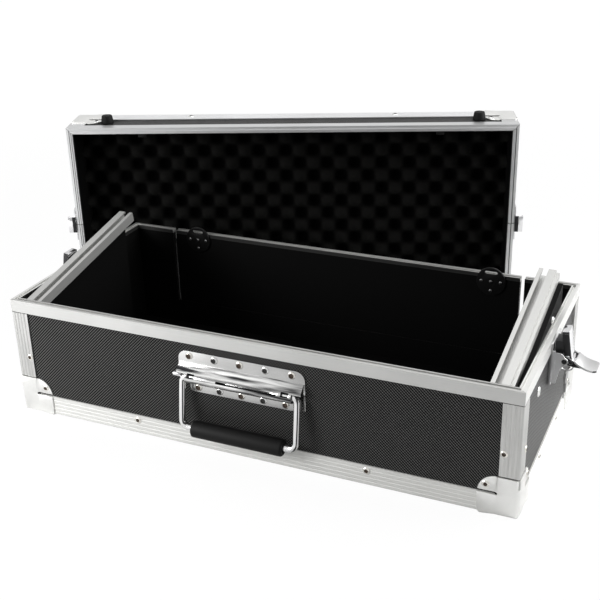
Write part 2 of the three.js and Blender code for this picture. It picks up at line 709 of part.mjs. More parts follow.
// Lever and hook are drawn closed, pointing down, and turned open about the pivot
const LEVER_OPEN = THREE.MathUtils.degToRad(75);
const EAR_Y = 8.4;
const EAR = 2;
const EAR_ROUND = 3.6;
const HOOK_PIVOT = 5.5;
const HOOK_PIVOT_ANGLE = THREE.MathUtils.degToRad(-93);
const HOOK_LEAN = THREE.MathUtils.degToRad(9);
const HOOK_PIN = 1.6;
const HOOK_KNUCKLE = 2.6;
const HOOK_HALF = 7.8;
const HOOK_SHEET = 1.8;
const HOOK_LENGTH = 29.2;
const HOOK_REACH = 6.3;
const HOOK_LIP = 4.3;
const HOOK_LIP_SHEET = 1.5;
const LEVER_HALF = 10.6;
const LEVER_SHEET = 1.8;
const LEVER_ROOT = [1.9, -8.8];
const LEVER_SAG = [-2.8, -18.9];
const LEVER_TIP = [0.3, -29];
const EAR_SHOULDER = [0.3, -13.5];
const LEVER_STEPS = 8;
const LEVER_TIP_ROUND = 7;
const EAR_HEEL = [-0.9, -17.5];
const EAR_BACK = [-3.3, -9];

// Band of even thickness along a quadratic curve
function curvedBand([start, bend, end], thickness, steps) {
  const curve = new THREE.QuadraticBezierCurve(
    new THREE.Vector2(...start),
    new THREE.Vector2(...bend),
    new THREE.Vector2(...end),
  );
  const near = [];
  const far = [];
  for (let i = 0; i <= steps; i += 1) {
    const point = curve.getPoint(i / steps);
    const tangent = curve.getTangent(i / steps);
    near.push([point.x - (tangent.y * thickness) / 2, point.y + (tangent.x * thickness) / 2]);
    far.push([point.x + (tangent.y * thickness) / 2, point.y - (tangent.x * thickness) / 2]);
  }
  return [...near, ...far.reverse()];
}

const hookPivotX = HOOK_PIVOT * Math.cos(HOOK_PIVOT_ANGLE);
const hookPivotZ = HOOK_PIVOT * Math.sin(HOOK_PIVOT_ANGLE);

for (const [side, sx] of SIDES) {
  const flip = ([x, z]) => [sx * x, z];
  const latch = new THREE.Group();
  latch.position.set(sx * PIVOT_X, 0, PIVOT_Z);
  latch.rotation.y = -sx * LEVER_OPEN;
  part.add(latch);
  const band = curvedBand([LEVER_ROOT, LEVER_SAG, LEVER_TIP], LEVER_SHEET, LEVER_STEPS);
  const tipZ = LEVER_TIP[1] - LEVER_SHEET;
  const plan = [
    [-LEVER_HALF, 0],
    ...arc(-LEVER_HALF + LEVER_TIP_ROUND, tipZ + LEVER_TIP_ROUND, LEVER_TIP_ROUND, 180, 270, CORNER_STEPS),
    ...arc(LEVER_HALF - LEVER_TIP_ROUND, tipZ + LEVER_TIP_ROUND, LEVER_TIP_ROUND, -90, 0, CORNER_STEPS),
    [LEVER_HALF, 0],
  ];
  const blade = prism("y", band.map(flip), -LEVER_HALF, LEVER_HALF)
    .intersect(prism("x", plan, -LEVER_HALF, LEVER_HALF));
  const earOutline = [
    ...arc(0, 0, EAR_ROUND, 0, 180, CORNER_STEPS),
    EAR_BACK,
    EAR_HEEL,
    EAR_SHOULDER,
    LEVER_ROOT,
  ];
  const bodies = [blade];
  for (const sy of [-1, 1]) {
    const ear = prism("y", earOutline.map(flip), sy * EAR_Y, sy * (EAR_Y + EAR));
    const hole = prism(
      "y",
      circle(hookPivotX, hookPivotZ, HOOK_PIN + SEAM, PIN_SIDES).map(flip),
      sy * (EAR_Y - OVERRUN),
      sy * (EAR_Y + EAR + OVERRUN),
    );
    const pin = circle(0, 0, PIVOT_RADIUS, PIN_SIDES);
    bodies.push(ear.subtract(hole));
    bodies.push(prism("y", pin, sy * (EAR_Y + EAR / 2), sy * (CHEEK_Y + CHEEK)));
  }
  piece(latch, `${side}_latch_lever`, joined(bodies), brightSteel);

  const hook = new THREE.Group();
  hook.position.set(sx * hookPivotX, 0, hookPivotZ);
  hook.rotation.y = sx * (LEVER_OPEN - HOOK_LEAN);
  latch.add(hook);
  const outer = HOOK_SHEET / 2;
  const clawX = outer - HOOK_REACH;
  const hookOutline = [
    [-outer, 0],
    [outer, 0],
    [outer, HOOK_LENGTH],
    [clawX, HOOK_LENGTH],
    [clawX, HOOK_LENGTH - HOOK_LIP],
    [clawX + HOOK_LIP_SHEET, HOOK_LENGTH - HOOK_LIP],
    [clawX + HOOK_LIP_SHEET, HOOK_LENGTH - HOOK_SHEET],
    [-outer, HOOK_LENGTH - HOOK_SHEET],
  ];
  piece(hook, `${side}_latch_hook`, joined([
    prism("y", hookOutline.map(flip), -HOOK_HALF, HOOK_HALF),
    prism("y", circle(0, 0, HOOK_KNUCKLE, PIN_SIDES), -HOOK_HALF, HOOK_HALF),
    prism("y", circle(0, 0, HOOK_PIN, PIN_SIDES), -EAR_Y - EAR, EAR_Y + EAR),
  ]), zincSteel);
}

// Key ring through the lug, with two flat keys
const RING_RADIUS = 6.5;
const RING_WIRE = 0.7;
const RING_SIDES = 24;
const RING_WIRE_SIDES = 8;
const RING_REST = 0.1;
const KEY_SHEET = 1;
const KEY_BOW = 7;
const KEY_BOW_DROP = 5;
const KEY_HOLE = 1.8;
const KEY_BLADE = 2.9;
const KEY_BLADE_POINT = 2.2;
const KEY_LENGTHS = [24.4, 17.8];
const BOW_SIDES = 20;

const ringZ = LUG_HOLE_Z - LUG_HOLE + RING_WIRE + RING_REST - RING_RADIUS;
const ringX = HALF_W + LUG_OUT - LUG_SHEET / 2;
const ringTurned = new THREE.TorusGeometry(RING_RADIUS, RING_WIRE, RING_WIRE_SIDES, RING_SIDES)
  .rotateX(Math.PI / 2)
  .translate(ringX, LUG_HOLE_Y, ringZ);
piece(part, "key_ring", solid(ringTurned), zincSteel);
KEY_LENGTHS.forEach((length, index) => {
  const x = ringX + (index === 0 ? -1 : 1) * (KEY_SHEET / 2 + RING_REST);
  const holeZ = ringZ - RING_RADIUS + RING_WIRE + RING_REST - KEY_HOLE;
  const bowZ = holeZ - KEY_BOW_DROP;
  const tipZ = bowZ - length;
  const blade = [
    [LUG_HOLE_Y - KEY_BLADE, bowZ],
    [LUG_HOLE_Y - KEY_BLADE, tipZ + KEY_BLADE_POINT],
    [LUG_HOLE_Y, tipZ],
    [LUG_HOLE_Y + KEY_BLADE, tipZ + KEY_BLADE_POINT],
    [LUG_HOLE_Y + KEY_BLADE, bowZ],
  ];
  const near = x - KEY_SHEET / 2;
  const far = x + KEY_SHEET / 2;
  const bow = prism("x", circle(LUG_HOLE_Y, bowZ, KEY_BOW, BOW_SIDES), near, far);
  const hole = prism("x", circle(LUG_HOLE_Y, holeZ, KEY_HOLE, PIN_SIDES), near - OVERRUN, far + OVERRUN);
  piece(part, `key_${index + 1}`, bow.add(prism("x", blade, near, far)).subtract(hole), brightSteel);
});

// Cable flap in the back wall, hinged at its lower edge outside, with two keeper discs inside
const HINGE_KNUCKLE = 2.6;
const HINGE_PIN = 1.2;
const HINGE_SHEET = 1.2;
const HINGE_LEAF = FLAP_Z - GUARD - EDGE_LEG - SEAM;
const HINGE_INSET = 19.4; // from each end of the flap
const HINGE_HALF = FLAP_HALF - HINGE_INSET;
const KNUCKLE_COUNT = 7;
const HINGE_Y = WALL_Y + HINGE_KNUCKLE;
const KEEPER_INSET = 29.5; // from each end of the flap
const KEEPER_X = FLAP_HALF - KEEPER_INSET;
const KEEPER_DROP = 7.2;
const KEEPER_Z = BASE_HEIGHT - KEEPER_DROP;
const KEEPER_RADIUS = 15;
const KEEPER_SHEET = 2;
const KEEPER_SIDES = 36;
const KEEPER_SLOT_HALF = 5;
const KEEPER_SLOT_UP = 9.6;
const KEEPER_SLOT_Z = KEEPER_Z + KEEPER_SLOT_UP;
const KEEPER_SLOT_HEIGHT = 3.6;

piece(
  part, "cable_flap",
  block([-FLAP_HALF, INNER_Y, FLAP_Z + SEAM], [FLAP_HALF, WALL_Y, BOARD_TOP]),
  laminate,
);
piece(
  part, "flap_rim",
  prism("x", rimOutline((out, z) => [INNER_Y + out, z]), -FLAP_HALF, FLAP_HALF),
  aluminium,
);
for (const [side, sx] of SIDES) {
  const slotOutline = [
    ...arc(sx * KEEPER_X + KEEPER_SLOT_HALF, KEEPER_SLOT_Z, KEEPER_SLOT_HEIGHT / 2, -90, 90, ROUND_STEPS),
    ...arc(sx * KEEPER_X - KEEPER_SLOT_HALF, KEEPER_SLOT_Z, KEEPER_SLOT_HEIGHT / 2, 90, 270, ROUND_STEPS),
  ];
  const disc = prism(
    "y",
    circle(sx * KEEPER_X, KEEPER_Z, KEEPER_RADIUS, KEEPER_SIDES),
    INNER_Y - KEEPER_SHEET,
    INNER_Y,
  );
  piece(
    part, `${side}_keeper_disc`,
    disc.subtract(prism("y", slotOutline, INNER_Y - OVERRUN, INNER_Y + OVERRUN)),
    blackSteel,
  );
}

// Hinge leaf above or below the axis, with every other knuckle
function hingeLeaf(up, first) {
  const pitch = (HINGE_HALF * 2) / KNUCKLE_COUNT;
  const nearZ = FLAP_Z + up * (HINGE_KNUCKLE + SEAM);
  const farZ = FLAP_Z + up * HINGE_LEAF;
  const bodies = [block([-HINGE_HALF, WALL_Y, nearZ], [HINGE_HALF, WALL_Y + HINGE_SHEET, farZ])];
  for (let i = first; i < KNUCKLE_COUNT; i += 2) {
    const x1 = -HINGE_HALF + i * pitch + SEAM;
    const x2 = -HINGE_HALF + (i + 1) * pitch - SEAM;
    bodies.push(prism("x", circle(HINGE_Y, FLAP_Z, HINGE_KNUCKLE, PIN_SIDES), x1, x2));
    bodies.push(block([x1, WALL_Y, FLAP_Z], [x2, WALL_Y + HINGE_SHEET, nearZ + up * SEAM]));
  }
  return joined(bodies);
}

piece(
  part, "flap_hinge_fixed",
  hingeLeaf(-1, 0).add(prism(
    "x",
    circle(HINGE_Y, FLAP_Z, HINGE_PIN, PIN_SIDES),
    -HINGE_HALF + SEAM,
    HINGE_HALF - SEAM,
  )),
  zincSteel,
);
piece(
  part, "flap_hinge_leaf",
  hingeLeaf(1, 1).subtract(prism(
    "x",
    circle(HINGE_Y, FLAP_Z, HINGE_PIN + SEAM, PIN_SIDES),
    -HINGE_HALF - OVERRUN,
    HINGE_HALF + OVERRUN,
  )),
  zincSteel,
);

// Lid, drawn as it closes the case (closing plane at z = 0), then stood on its front long side
const LID_TOP = LID_HEIGHT - GUARD - LEG; // outer face of the top board
const LID_INSIDE = LID_TOP - BOARD;
const TONGUE_START = 2.1;
const TONGUE_WIDTH = 1.9;
const TONGUE_HEIGHT = 1.8;
const FOAM_THICKNESS = 19.5;
const FOAM_WAVE = 13;
const FOAM_PITCH = 15.9; // half the spacing of the hollows in a row
const FOOT_X = 215;
const FOOT_Z = 27;
const FOOT_RADIUS = 7.6;
const FOOT_TIP_RADIUS = 5.9;
const FOOT_HEIGHT = 9;
const CATCH_HALF = 20;
const CATCH_TOP = 22;
const CATCH_SHEET = 1.5;
const CATCH_LIP_HALF = 9.5;
const CATCH_LIP_OUT = 9.7;
const CATCH_LIP_LOW = -2.7;
const CATCH_LIP_SHEET = 1.2;
const CATCH_LIP_HIGH = 1.2;
const TAB_HALF = 4.4;
const TAB_REACH = 3.8;
const TAB_LOW = 1.2;
const TAB_HIGH = 3.4;

const LID_GUARD = GUARD - SEAM / 2; // clear of the profiles that it lies on

const lid = new THREE.Group();
const across = new THREE.Vector3(-Math.cos(LID_YAW), -Math.sin(LID_YAW), 0);
const away = new THREE.Vector3(-Math.sin(LID_YAW), Math.cos(LID_YAW), 0);
lid.applyMatrix4(new THREE.Matrix4().makeBasis(across, new THREE.Vector3(0, 0, 1), away));
lid.position.set(LID_X, LID_Y, HALF_D + GUARD);
part.add(lid);

piece(
  lid, "lid_top_panel",
  block([-WALL_X, -WALL_Y, LID_INSIDE + SEAM], [WALL_X, WALL_Y, LID_TOP]),
  laminate,
);
piece(lid, "lid_walls", wallRing(0, BOARD, RIM_CAP + SEAM, LID_INSIDE), laminate);
piece(lid, "lid_rim", joined([
  wallRing(0, RIM_WIDTH, 0, RIM_CAP),
  wallRing(BOARD + SEAM, RIM_WIDTH, 0, RIM_FLANGE),
  wallRing(TONGUE_START, TONGUE_START + TONGUE_WIDTH, -TONGUE_HEIGHT, RIM_CAP),
]), aluminium);

// Edge profiles of the lid: fluted angles round the top and short posts at the corners
function lidEdges() {
  const high = LID_TOP + LEG;
  const bodies = [
    wallRing(BOARD + SEAM, RIM_WIDTH, high - EDGE_LEG, high),
    wallRing(RIM_WIDTH - EDGE_LEG, RIM_WIDTH, LID_TOP + SEAM, high),
  ];
  for (const [, sx] of SIDES) {
    for (const [, sy] of ENDS) {
      const outline = [
        [HALF_W, HALF_D],
        [HALF_W, HALF_D - POST_LEG],
        [WALL_X + SEAM, HALF_D - POST_LEG],
        [WALL_X + SEAM, WALL_Y + SEAM],
        [HALF_W - POST_LEG, WALL_Y + SEAM],
        [HALF_W - POST_LEG, HALF_D],
      ].map(([x, y]) => [sx * x, sy * y]);
      bodies.push(prism("z", outline, RIM_FLANGE + SEAM, high - EDGE_LEG / 2));
    }
  }
  let edges = joined(bodies);
  for (const centre of fluteCentres(EDGE_LEG)) {
    const low = high - centre - FLUTE_WIDTH / 2;
    edges = edges.subtract(wallRing(RIM_WIDTH - FLUTE_DEPTH, RIM_WIDTH + OVERRUN, low, low + FLUTE_WIDTH));
    const out = RIM_WIDTH - centre + FLUTE_WIDTH / 2;
    edges = edges.subtract(wallRing(out - FLUTE_WIDTH, out, high - FLUTE_DEPTH, high + OVERRUN));
  }
  return edges;
}
piece(lid, "lid_edges", lidEdges(), aluminium);

for (const [end, sy] of ENDS) {
  for (const [side, sx] of SIDES) {
    const corner = [sx * (HALF_W + GUARD), sy * (HALF_D + GUARD), LID_HEIGHT];
    piece(
      lid, `lid_${end}_${side}_protector`,
      protector(corner, [-sx, -sy, -1], LID_GUARD),
      zincSteel,
    );
  }
}

// Gives each cell of a box's -Z face a vertex in its middle, with four triangles round it
function fanned(box) {
  const cells = box.groups.at(-1);
  const corners = Array.from(box.index.array);
  const points = Array.from(box.attributes.position.array);
  const point = (i) => new THREE.Vector3().fromArray(points, i * 3);
  const faces = corners.slice(0, cells.start);
  for (let i = cells.start; i < corners.length; i += 6) {
    const [a, b, d, , c] = corners.slice(i, i + 6);
    const middle = points.length / 3;
    const centre = new THREE.Vector3();
    for (const corner of [a, b, c, d]) centre.addScaledVector(point(corner), 1 / 4);
    points.push(...centre.toArray());
    faces.push(a, b, middle, b, c, middle, c, d, middle, d, a, middle);
  }
  const geometry = new THREE.BufferGeometry();
  geometry.setAttribute("position", new THREE.Float32BufferAttribute(points, 3));
  return geometry.setIndex(faces);
}

// Egg-crate foam: hollows and peaks alternate on a square grid
function foamBody() {
  const width = 2 * (INNER_X - SEAM);
  const depth = 2 * (INNER_Y - SEAM);
  const columns = Math.round(width / FOAM_PITCH);
  const rows = Math.round(depth / FOAM_PITCH);
  const slab = new THREE.BoxGeometry(width, depth, FOAM_THICKNESS, columns, rows, 1);
  const position = slab.attributes.position;
  for (let i = 0; i < position.count; i += 1) {
    if (position.getZ(i) > 0) continue;
    const column = Math.round(((position.getX(i) + width / 2) / width) * columns);
    const row = Math.round(((position.getY(i) + depth / 2) / depth) * rows);
    if ((column + row) % 2 === 0) position.setZ(i, -FOAM_THICKNESS / 2 + FOAM_WAVE);
  }
  return solid(fanned(slab).translate(0, 0, LID_INSIDE - FOAM_THICKNESS / 2));
}
piece(lid, "lid_foam", foamBody(), foamBlack);

for (const [side, sx] of SIDES) {
  const foot = new THREE.CylinderGeometry(FOOT_TIP_RADIUS, FOOT_RADIUS, FOOT_HEIGHT, ROUND_SIDES)
    .translate(sx * FOOT_X, WALL_Y + SEAM + FOOT_HEIGHT / 2, FOOT_Z);
  piece(lid, `lid_foot_${side}`, solid(foot), blackRubber);

  const flangeX = HALF_W + SEAM;
  const sheetX = flangeX + CATCH_SHEET;
  const lipX = HALF_W + CATCH_LIP_OUT;
  piece(lid, `lid_catch_${side}`, joined([
    block([sx * flangeX, -CATCH_HALF, SEAM], [sx * sheetX, CATCH_HALF, CATCH_TOP]),
    block([sx * (WALL_X + SEAM), -CATCH_HALF, RIM_FLANGE + SEAM], [sx * sheetX, CATCH_HALF, CATCH_TOP]),
    block([sx * flangeX, -CATCH_LIP_HALF, CATCH_LIP_LOW], [sx * sheetX, CATCH_LIP_HALF, CATCH_TOP]),
    block(
      [sx * flangeX, -CATCH_LIP_HALF, CATCH_LIP_LOW],
      [sx * lipX, CATCH_LIP_HALF, CATCH_LIP_LOW + CATCH_LIP_SHEET],
    ),
    block(
      [sx * (lipX - CATCH_LIP_SHEET), -CATCH_LIP_HALF, CATCH_LIP_LOW],
      [sx * lipX, CATCH_LIP_HALF, CATCH_LIP_HIGH],
    ),
  ]), brightSteel);

  piece(
    lid, `lid_tongue_${side}`,
    block(
      [sx * KEEPER_X - TAB_HALF, INNER_Y - SEAM - TAB_REACH, TAB_LOW],
      [sx * KEEPER_X + TAB_HALF, INNER_Y - SEAM, TAB_HIGH],
    ),
    blackSteel,
  );
}

export default part;
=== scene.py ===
import json
import math

import bpy
from mathutils import Matrix, Vector


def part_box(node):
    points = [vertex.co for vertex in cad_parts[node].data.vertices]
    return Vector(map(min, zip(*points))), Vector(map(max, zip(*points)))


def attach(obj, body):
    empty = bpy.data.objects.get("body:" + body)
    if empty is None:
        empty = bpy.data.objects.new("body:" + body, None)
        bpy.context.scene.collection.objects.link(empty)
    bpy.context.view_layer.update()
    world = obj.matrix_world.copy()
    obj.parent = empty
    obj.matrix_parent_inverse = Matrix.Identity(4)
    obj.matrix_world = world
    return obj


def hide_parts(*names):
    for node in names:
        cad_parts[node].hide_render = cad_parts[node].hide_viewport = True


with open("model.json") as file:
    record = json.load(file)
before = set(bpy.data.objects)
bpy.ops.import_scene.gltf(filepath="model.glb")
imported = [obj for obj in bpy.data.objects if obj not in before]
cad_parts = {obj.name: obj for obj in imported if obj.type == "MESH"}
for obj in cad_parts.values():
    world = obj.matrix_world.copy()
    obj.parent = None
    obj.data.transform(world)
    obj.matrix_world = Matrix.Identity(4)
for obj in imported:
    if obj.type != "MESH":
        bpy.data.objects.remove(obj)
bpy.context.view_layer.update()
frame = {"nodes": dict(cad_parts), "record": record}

# Camera at the photograph's viewing angle: a little above the case, looking over its
# right front corner.
camera = bpy.data.objects.new("camera", bpy.data.cameras.new("camera"))
bpy.context.scene.collection.objects.link(camera)
camera.location = (0.4025, -0.8619, 0.5487)
camera.rotation_euler = (math.radians(65.504), math.radians(1.538), math.radians(24.034))
camera.data.lens = 63.04
camera.data.sensor_width = 36
camera.data.clip_start = 0.01
bpy.context.scene.camera = camera
bpy.context.scene.view_settings.view_transform = "Standard"


# Floor: a plain pale sheet under the case, seen as white, with a soft contact shadow near
# the case that fades out further away. Not part of the object.
class Signal:
    """An output of a material's nodes, or the tree itself, that can be used in arithmetic."""

    def __init__(self, tree, socket=None):
        self.tree = tree
        self.socket = socket

    def node(self, kind, output=0, settings=(), inputs=()):
        made = self.tree.nodes.new(kind)
        for key, value in dict(settings).items():
            setattr(made, key, value)
        for key, value in dict(inputs).items():
            if isinstance(value, Signal):
                self.tree.links.new(value.socket, made.inputs[key])
            else:
                made.inputs[key].default_value = value
        return Signal(self.tree, made.outputs[output])

    def math(self, operation, *values):
        return self.node("ShaderNodeMath", 0, {"operation": operation}, enumerate(values))

    def __add__(self, other):
        return self.math("ADD", self, other)

    __radd__ = __add__

    def __sub__(self, other):
        return self.math("SUBTRACT", self, other)

    def __rsub__(self, other):
        return self.math("SUBTRACT", other, self)

    def __mul__(self, other):
        return self.math("MULTIPLY", self, other)

    __rmul__ = __mul__

    def __gt__(self, other):
        return self.math("GREATER_THAN", self, other)

    def __lt__(self, other):
        return self.math("LESS_THAN", self, other)

    def __abs__(self):
        return self.math("ABSOLUTE", self)

    def sine(self):
        return self.math("SINE", self)

    def axis(self, name):
        return self.node("ShaderNodeSeparateXYZ", name, (), {0: self})

    def length(self):
        return self.node("ShaderNodeVectorMath", "Value", {"operation": "LENGTH"}, {0: self})

    def stretched(self, x, y, z):
        settings = {"operation": "MULTIPLY"}
        return self.node("ShaderNodeVectorMath", 0, settings, {0: self, 1: (x, y, z)})

    def noise(self, scale, detail=2.0, roughness=0.5):
        inputs = {"Vector": self, "Scale": scale, "Detail": detail, "Roughness": roughness}
        return self.node("ShaderNodeTexNoise", "Fac", (), inputs)

    def mix(self, low, high):
        """This signal from 0 to 1 as a blend of two numbers."""
        return self.node("ShaderNodeMix", 0, {"data_type": "FLOAT"}, {0: self, 2: low, 3: high})

    def between(self, low, high):
        """This signal from 0 to 1 as a blend of two colours."""
        inputs = {"Factor": self, 6: (*low, 1), 7: (*high, 1)}
        return self.node("ShaderNodeMix", 2, {"data_type": "RGBA"}, inputs)

    def bump(self, height, strength=1.0):
        inputs = {"Height": self, "Distance": height, "Strength": strength}
        return self.node("ShaderNodeBump", "Normal", (), inputs)


def new_material(name, constants):
    """A material with constant sockets set, and the point of the piece that is shaded."""
    material = bpy.data.materials.new(name)
    material.use_nodes = True
    for socket, value in constants.items():
        material.node_tree.nodes["Principled BSDF"].inputs[socket].default_value = value
    return material, Signal(material.node_tree).node("ShaderNodeTexCoord", "Object")


def feed(material, signals):
    """Links signals to the sockets of a material's own shader."""
    shader = material.node_tree.nodes["Principled BSDF"]
    for socket, signal in signals.items():
        material.node_tree.links.new(signal.socket, shader.inputs[socket])


def overlay(material, factor, shader):
    """Mixes another shader over a material's own."""
    tree = material.node_tree
    own = Signal(tree, tree.nodes["Principled BSDF"].outputs["BSDF"])
    mixed = own.node("ShaderNodeMixShader", 0, (), {0: factor, 1: own, 2: shader})
    tree.links.new(mixed.socket, tree.nodes["Material Output"].inputs["Surface"])


SHADOW_REACH = 0.6
SHADOW_WHITE = 0.93

bpy.ops.mesh.primitive_plane_add(size=40, location=(0, 0, 0))
floor = bpy.context.object
floor.name = "floor"
paper, spot = new_material("floor_paper", {"Specular IOR Level": 0.0, "Base Color": (0.9, 0.9, 0.9, 1)})
feed(paper, {"Roughness": 0.9 + 0.05 * spot.noise(40)})
glow = spot.node("ShaderNodeEmission", 0, (), {"Color": (1, 1, 1, 1), "Strength": 1.02})
whiteness = (spot.length() - SHADOW_REACH).mix(SHADOW_WHITE, 1.0)
overlay(paper, whiteness * spot.node("ShaderNodeLightPath", "Is Camera Ray"), glow)
floor.data.materials.append(paper)

# Soft studio light: a box close to the front left corner, a wide one on the right, one
# overhead, and a pale room that is plain white where the camera looks past the floor.
ROOM = 0.2
ROOM_IN_METAL = 0.58

for name, place, aim, width, height, power, spread in (
    ("key_box", (-0.80, -0.80, 0.42), (-0.45, -0.38, 0.0), 0.5, 0.5, 3.4, 85),
    ("side_box", (1.25, 0.5, 0.6), (0.35, 0.2, 0.0), 0.9, 0.9, 7.5, 110),
    ("top_box", (0.1, 0.6, 1.9), (0, 0.1, 0), 1.4, 1.0, 9.0, 180),
):
    lamp = bpy.data.lights.new(name, "AREA")
    lamp.shape = "RECTANGLE"
    lamp.size = width
    lamp.size_y = height
    lamp.energy = power
    lamp.spread = math.radians(spread)
    box = bpy.data.objects.new(name, lamp)
    bpy.context.scene.collection.objects.link(box)
    box.location = place
    box.rotation_euler = (Vector(aim) - Vector(place)).to_track_quat("-Z", "Y").to_euler()

world = bpy.data.worlds.new("room")
bpy.context.scene.world = world
world.use_nodes = True
room = Signal(world.node_tree)
backdrop = world.node_tree.nodes["Background"]
backdrop.inputs["Color"].default_value = (1, 1, 1, 1)
direct = room.node("ShaderNodeLightPath", "Is Camera Ray")
mirrored = room.node("ShaderNodeLightPath", "Is Glossy Ray")
strength = ROOM + (1 - ROOM) * direct + ROOM_IN_METAL * mirrored
world.node_tree.links.new(strength.socket, backdrop.inputs["Strength"])

# Boards of the base: 6 mm plywood under a black laminate pressed with a fine diamond
# pattern on its outer face and left smooth inside. The pattern's stripes are painted into
# the colour as painted highlights, and the inside is coloured far darker as painted shade.
# They slide into the aluminium profiles.
PITCH = 0.003
INNER_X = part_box("right_panel")[0].x
INNER_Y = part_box("back_panel")[0].y
UNDERSIDE = 0.004
SKIN = 0.0003


def laminate(name, place):
    """Laminate whose place gives, for a point, the run and rise of the pattern and what is inside."""
    material, spot = new_material(name, {"Specular IOR Level": 0.06})
    run, rise, inside = place(spot)
    rate = 2 * math.pi / PITCH
    climbing = ((run - rise) * rate).sine()
    falling = ((run + rise) * rate).sine()
    # Painted highlights: the facets' stripes are painted into the colour, and the diagonal that shows
    # brighter shifts from the left end to the right as the light falls. The same stripes make the bump.
    lit_diagonal_shift = 0.5 + 2.0 * spot.axis("X")
    relief_and_glints = 0.85 * lit_diagonal_shift.mix(climbing, falling) + 0.15 * lit_diagonal_shift.mix(falling, climbing)
    haze = spot.noise(9, 3)
    grit = spot.noise(900, 2)
    feed(material, {
        "Base Color": (0.2 + 0.85 * relief_and_glints + 0.1 * haze).between((0.0, 0.0, 0.0), (0.12, 0.12, 0.118)),
        "Roughness": 0.24 + 0.08 * grit + 0.06 * haze,
        "Normal": (relief_and_glints + 0.2 * grit).bump(0.00015, 0.8),
    })
    # Painted shade: the smooth inside faces are coloured far darker than the outside, standing in for the
    # shade inside the case.
    shaded_lining = spot.node("ShaderNodeBsdfPrincipled", 0, (), {
        "Base Color": grit.between((0.002, 0.002, 0.002), (0.004, 0.004, 0.004)),
        "Roughness": 0.5 + 0.2 * haze,
        "Specular IOR Level": 0.06,
    })
    overlay(material, inside, shaded_lining)
    return material


def on_base(spot):
    x, y, z = spot.axis("X"), spot.axis("Y"), spot.axis("Z")
    return x + y, z, (abs(x) < INNER_X + SKIN) * (abs(y) < INNER_Y + SKIN) * (z > UNDERSIDE)


def dress(material, *names):
    for name in names:
        frame["nodes"][name].data.materials.clear()
        frame["nodes"][name].data.materials.append(material)


dress(
    laminate("base_laminate", on_base), "floor_panel", "front_panel", "left_panel", "right_panel",
    "back_panel", "left_rail_board", "right_rail_board", "cable_flap",
)

# Edge profiles of the base: extruded aluminium angles with four flutes a leg, satin
# anodised, riveted to the boards. The brushing runs along each profile.
# Dark lines of this half height: painted shade lines across the posts, just over the protectors' tops and
# under the closing profile, and the lid's butt seams.
DARK_LINE_HALF = 0.0004
POST_SHADE_LINES = (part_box("front_left_protector")[1].z + DARK_LINE_HALF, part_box("front_left_post")[1].z)
MOUTH_SKIN = 0.0002
SHADED = 0.12


def aluminium(name, along, dark=0.72, light=0.9, rough=0.34, shade_lines=(), shade=False):
    """Brushed metal with painted shade: dark lines at the heights where another piece closes over it and,
    if asked, dark in the mouth.
    """
    material, spot = new_material(name, {"Metallic": 1.0})
    streaks = spot.stretched(*along).noise(1, 3, 0.6)
    cloud = spot.noise(14, 3)
    tone = (0.5 * streaks + 0.5 * cloud).mix(dark, light)
    for height in shade_lines:
        tone = tone * (abs(spot.axis("Z") - height) < DARK_LINE_HALF).mix(1, SHADED)
    # Painted shade: the rims' faces inside the mouth are darkened.
    if shade:
        mouth_shade = (abs(spot.axis("X")) < INNER_X + MOUTH_SKIN) * (abs(spot.axis("Y")) < INNER_Y + MOUTH_SKIN)
        tone = tone * mouth_shade.mix(1, SHADED)
    feed(material, {
        "Base Color": tone.between((0, 0, 0), (1, 1, 0.98)),
        "Roughness": rough + 0.14 * streaks + 0.06 * cloud,
        "Normal": streaks.bump(0.00002, 0.3),
    })
    return material


ALONG_X = (25, 2200, 2200)
ALONG_Y = (2200, 25, 2200)
ALONG_Z = (900, 900, 22)

# Lit and shaded copies: the left and right bottom edges are coloured lighter than the front and back ones,
# as painted light.
dress(
    aluminium("satin_along_x", ALONG_X, dark=0.6, light=0.76, rough=0.7),
    "front_bottom_edge", "back_bottom_edge",
)
dress(
    aluminium("satin_along_y", ALONG_Y, dark=0.8, light=0.95, rough=0.6),
    "left_bottom_edge", "right_bottom_edge",
)
dress(
    aluminium("aluminium_along_z", ALONG_Z, dark=0.3, light=0.86, shade_lines=POST_SHADE_LINES),
    "front_left_post", "front_right_post", "back_left_post", "back_right_post",
)


# Corner protectors of the base and the lid: three leaves pressed from one zinc-plated
# sheet. The lobes are set back onto the boards, with an open slot where the sheet steps
# over the profile.
def solo(piece):
    bpy.ops.object.select_all(action="DESELECT")
    piece.select_set(True)
    bpy.context.view_layer.objects.active = piece


def cad_copy(node, name):
    """Copy of a CAD node's mesh, with its corners joined and its flat faces whole."""
    piece = bpy.data.objects.new(name, frame["nodes"][node].data.copy())
    bpy.context.scene.collection.objects.link(piece)
    piece.data.materials.clear()
    solo(piece)
    bpy.ops.object.mode_set(mode="EDIT")
    bpy.ops.mesh.select_all(action="SELECT")
    bpy.ops.mesh.remove_doubles(threshold=1e-6)
    bpy.ops.mesh.dissolve_limited(angle_limit=math.radians(0.5))
    bpy.ops.object.mode_set(mode="OBJECT")
    return piece


def modify(piece, kind, settings):
    solo(piece)
    made = piece.modifiers.new("step", kind)
    for key, value in settings.items():
        setattr(made, key, value)
    bpy.ops.object.modifier_apply(modifier="step")


def rounded(piece, width, segments=2, limit=40, smooth=40):
    """Rounds the edges that turn by more than limit degrees."""
    modify(piece, "BEVEL", {
        "width": width, "segments": segments, "limit_method": "ANGLE",
        "angle_limit": math.radians(limit), "harden_normals": False,
    })
    bpy.ops.object.shade_smooth_by_angle(angle=math.radians(smooth))


body_of = {node: body for body, nodes in frame["record"]["behaviour"]["bodies"].items() for node in nodes}


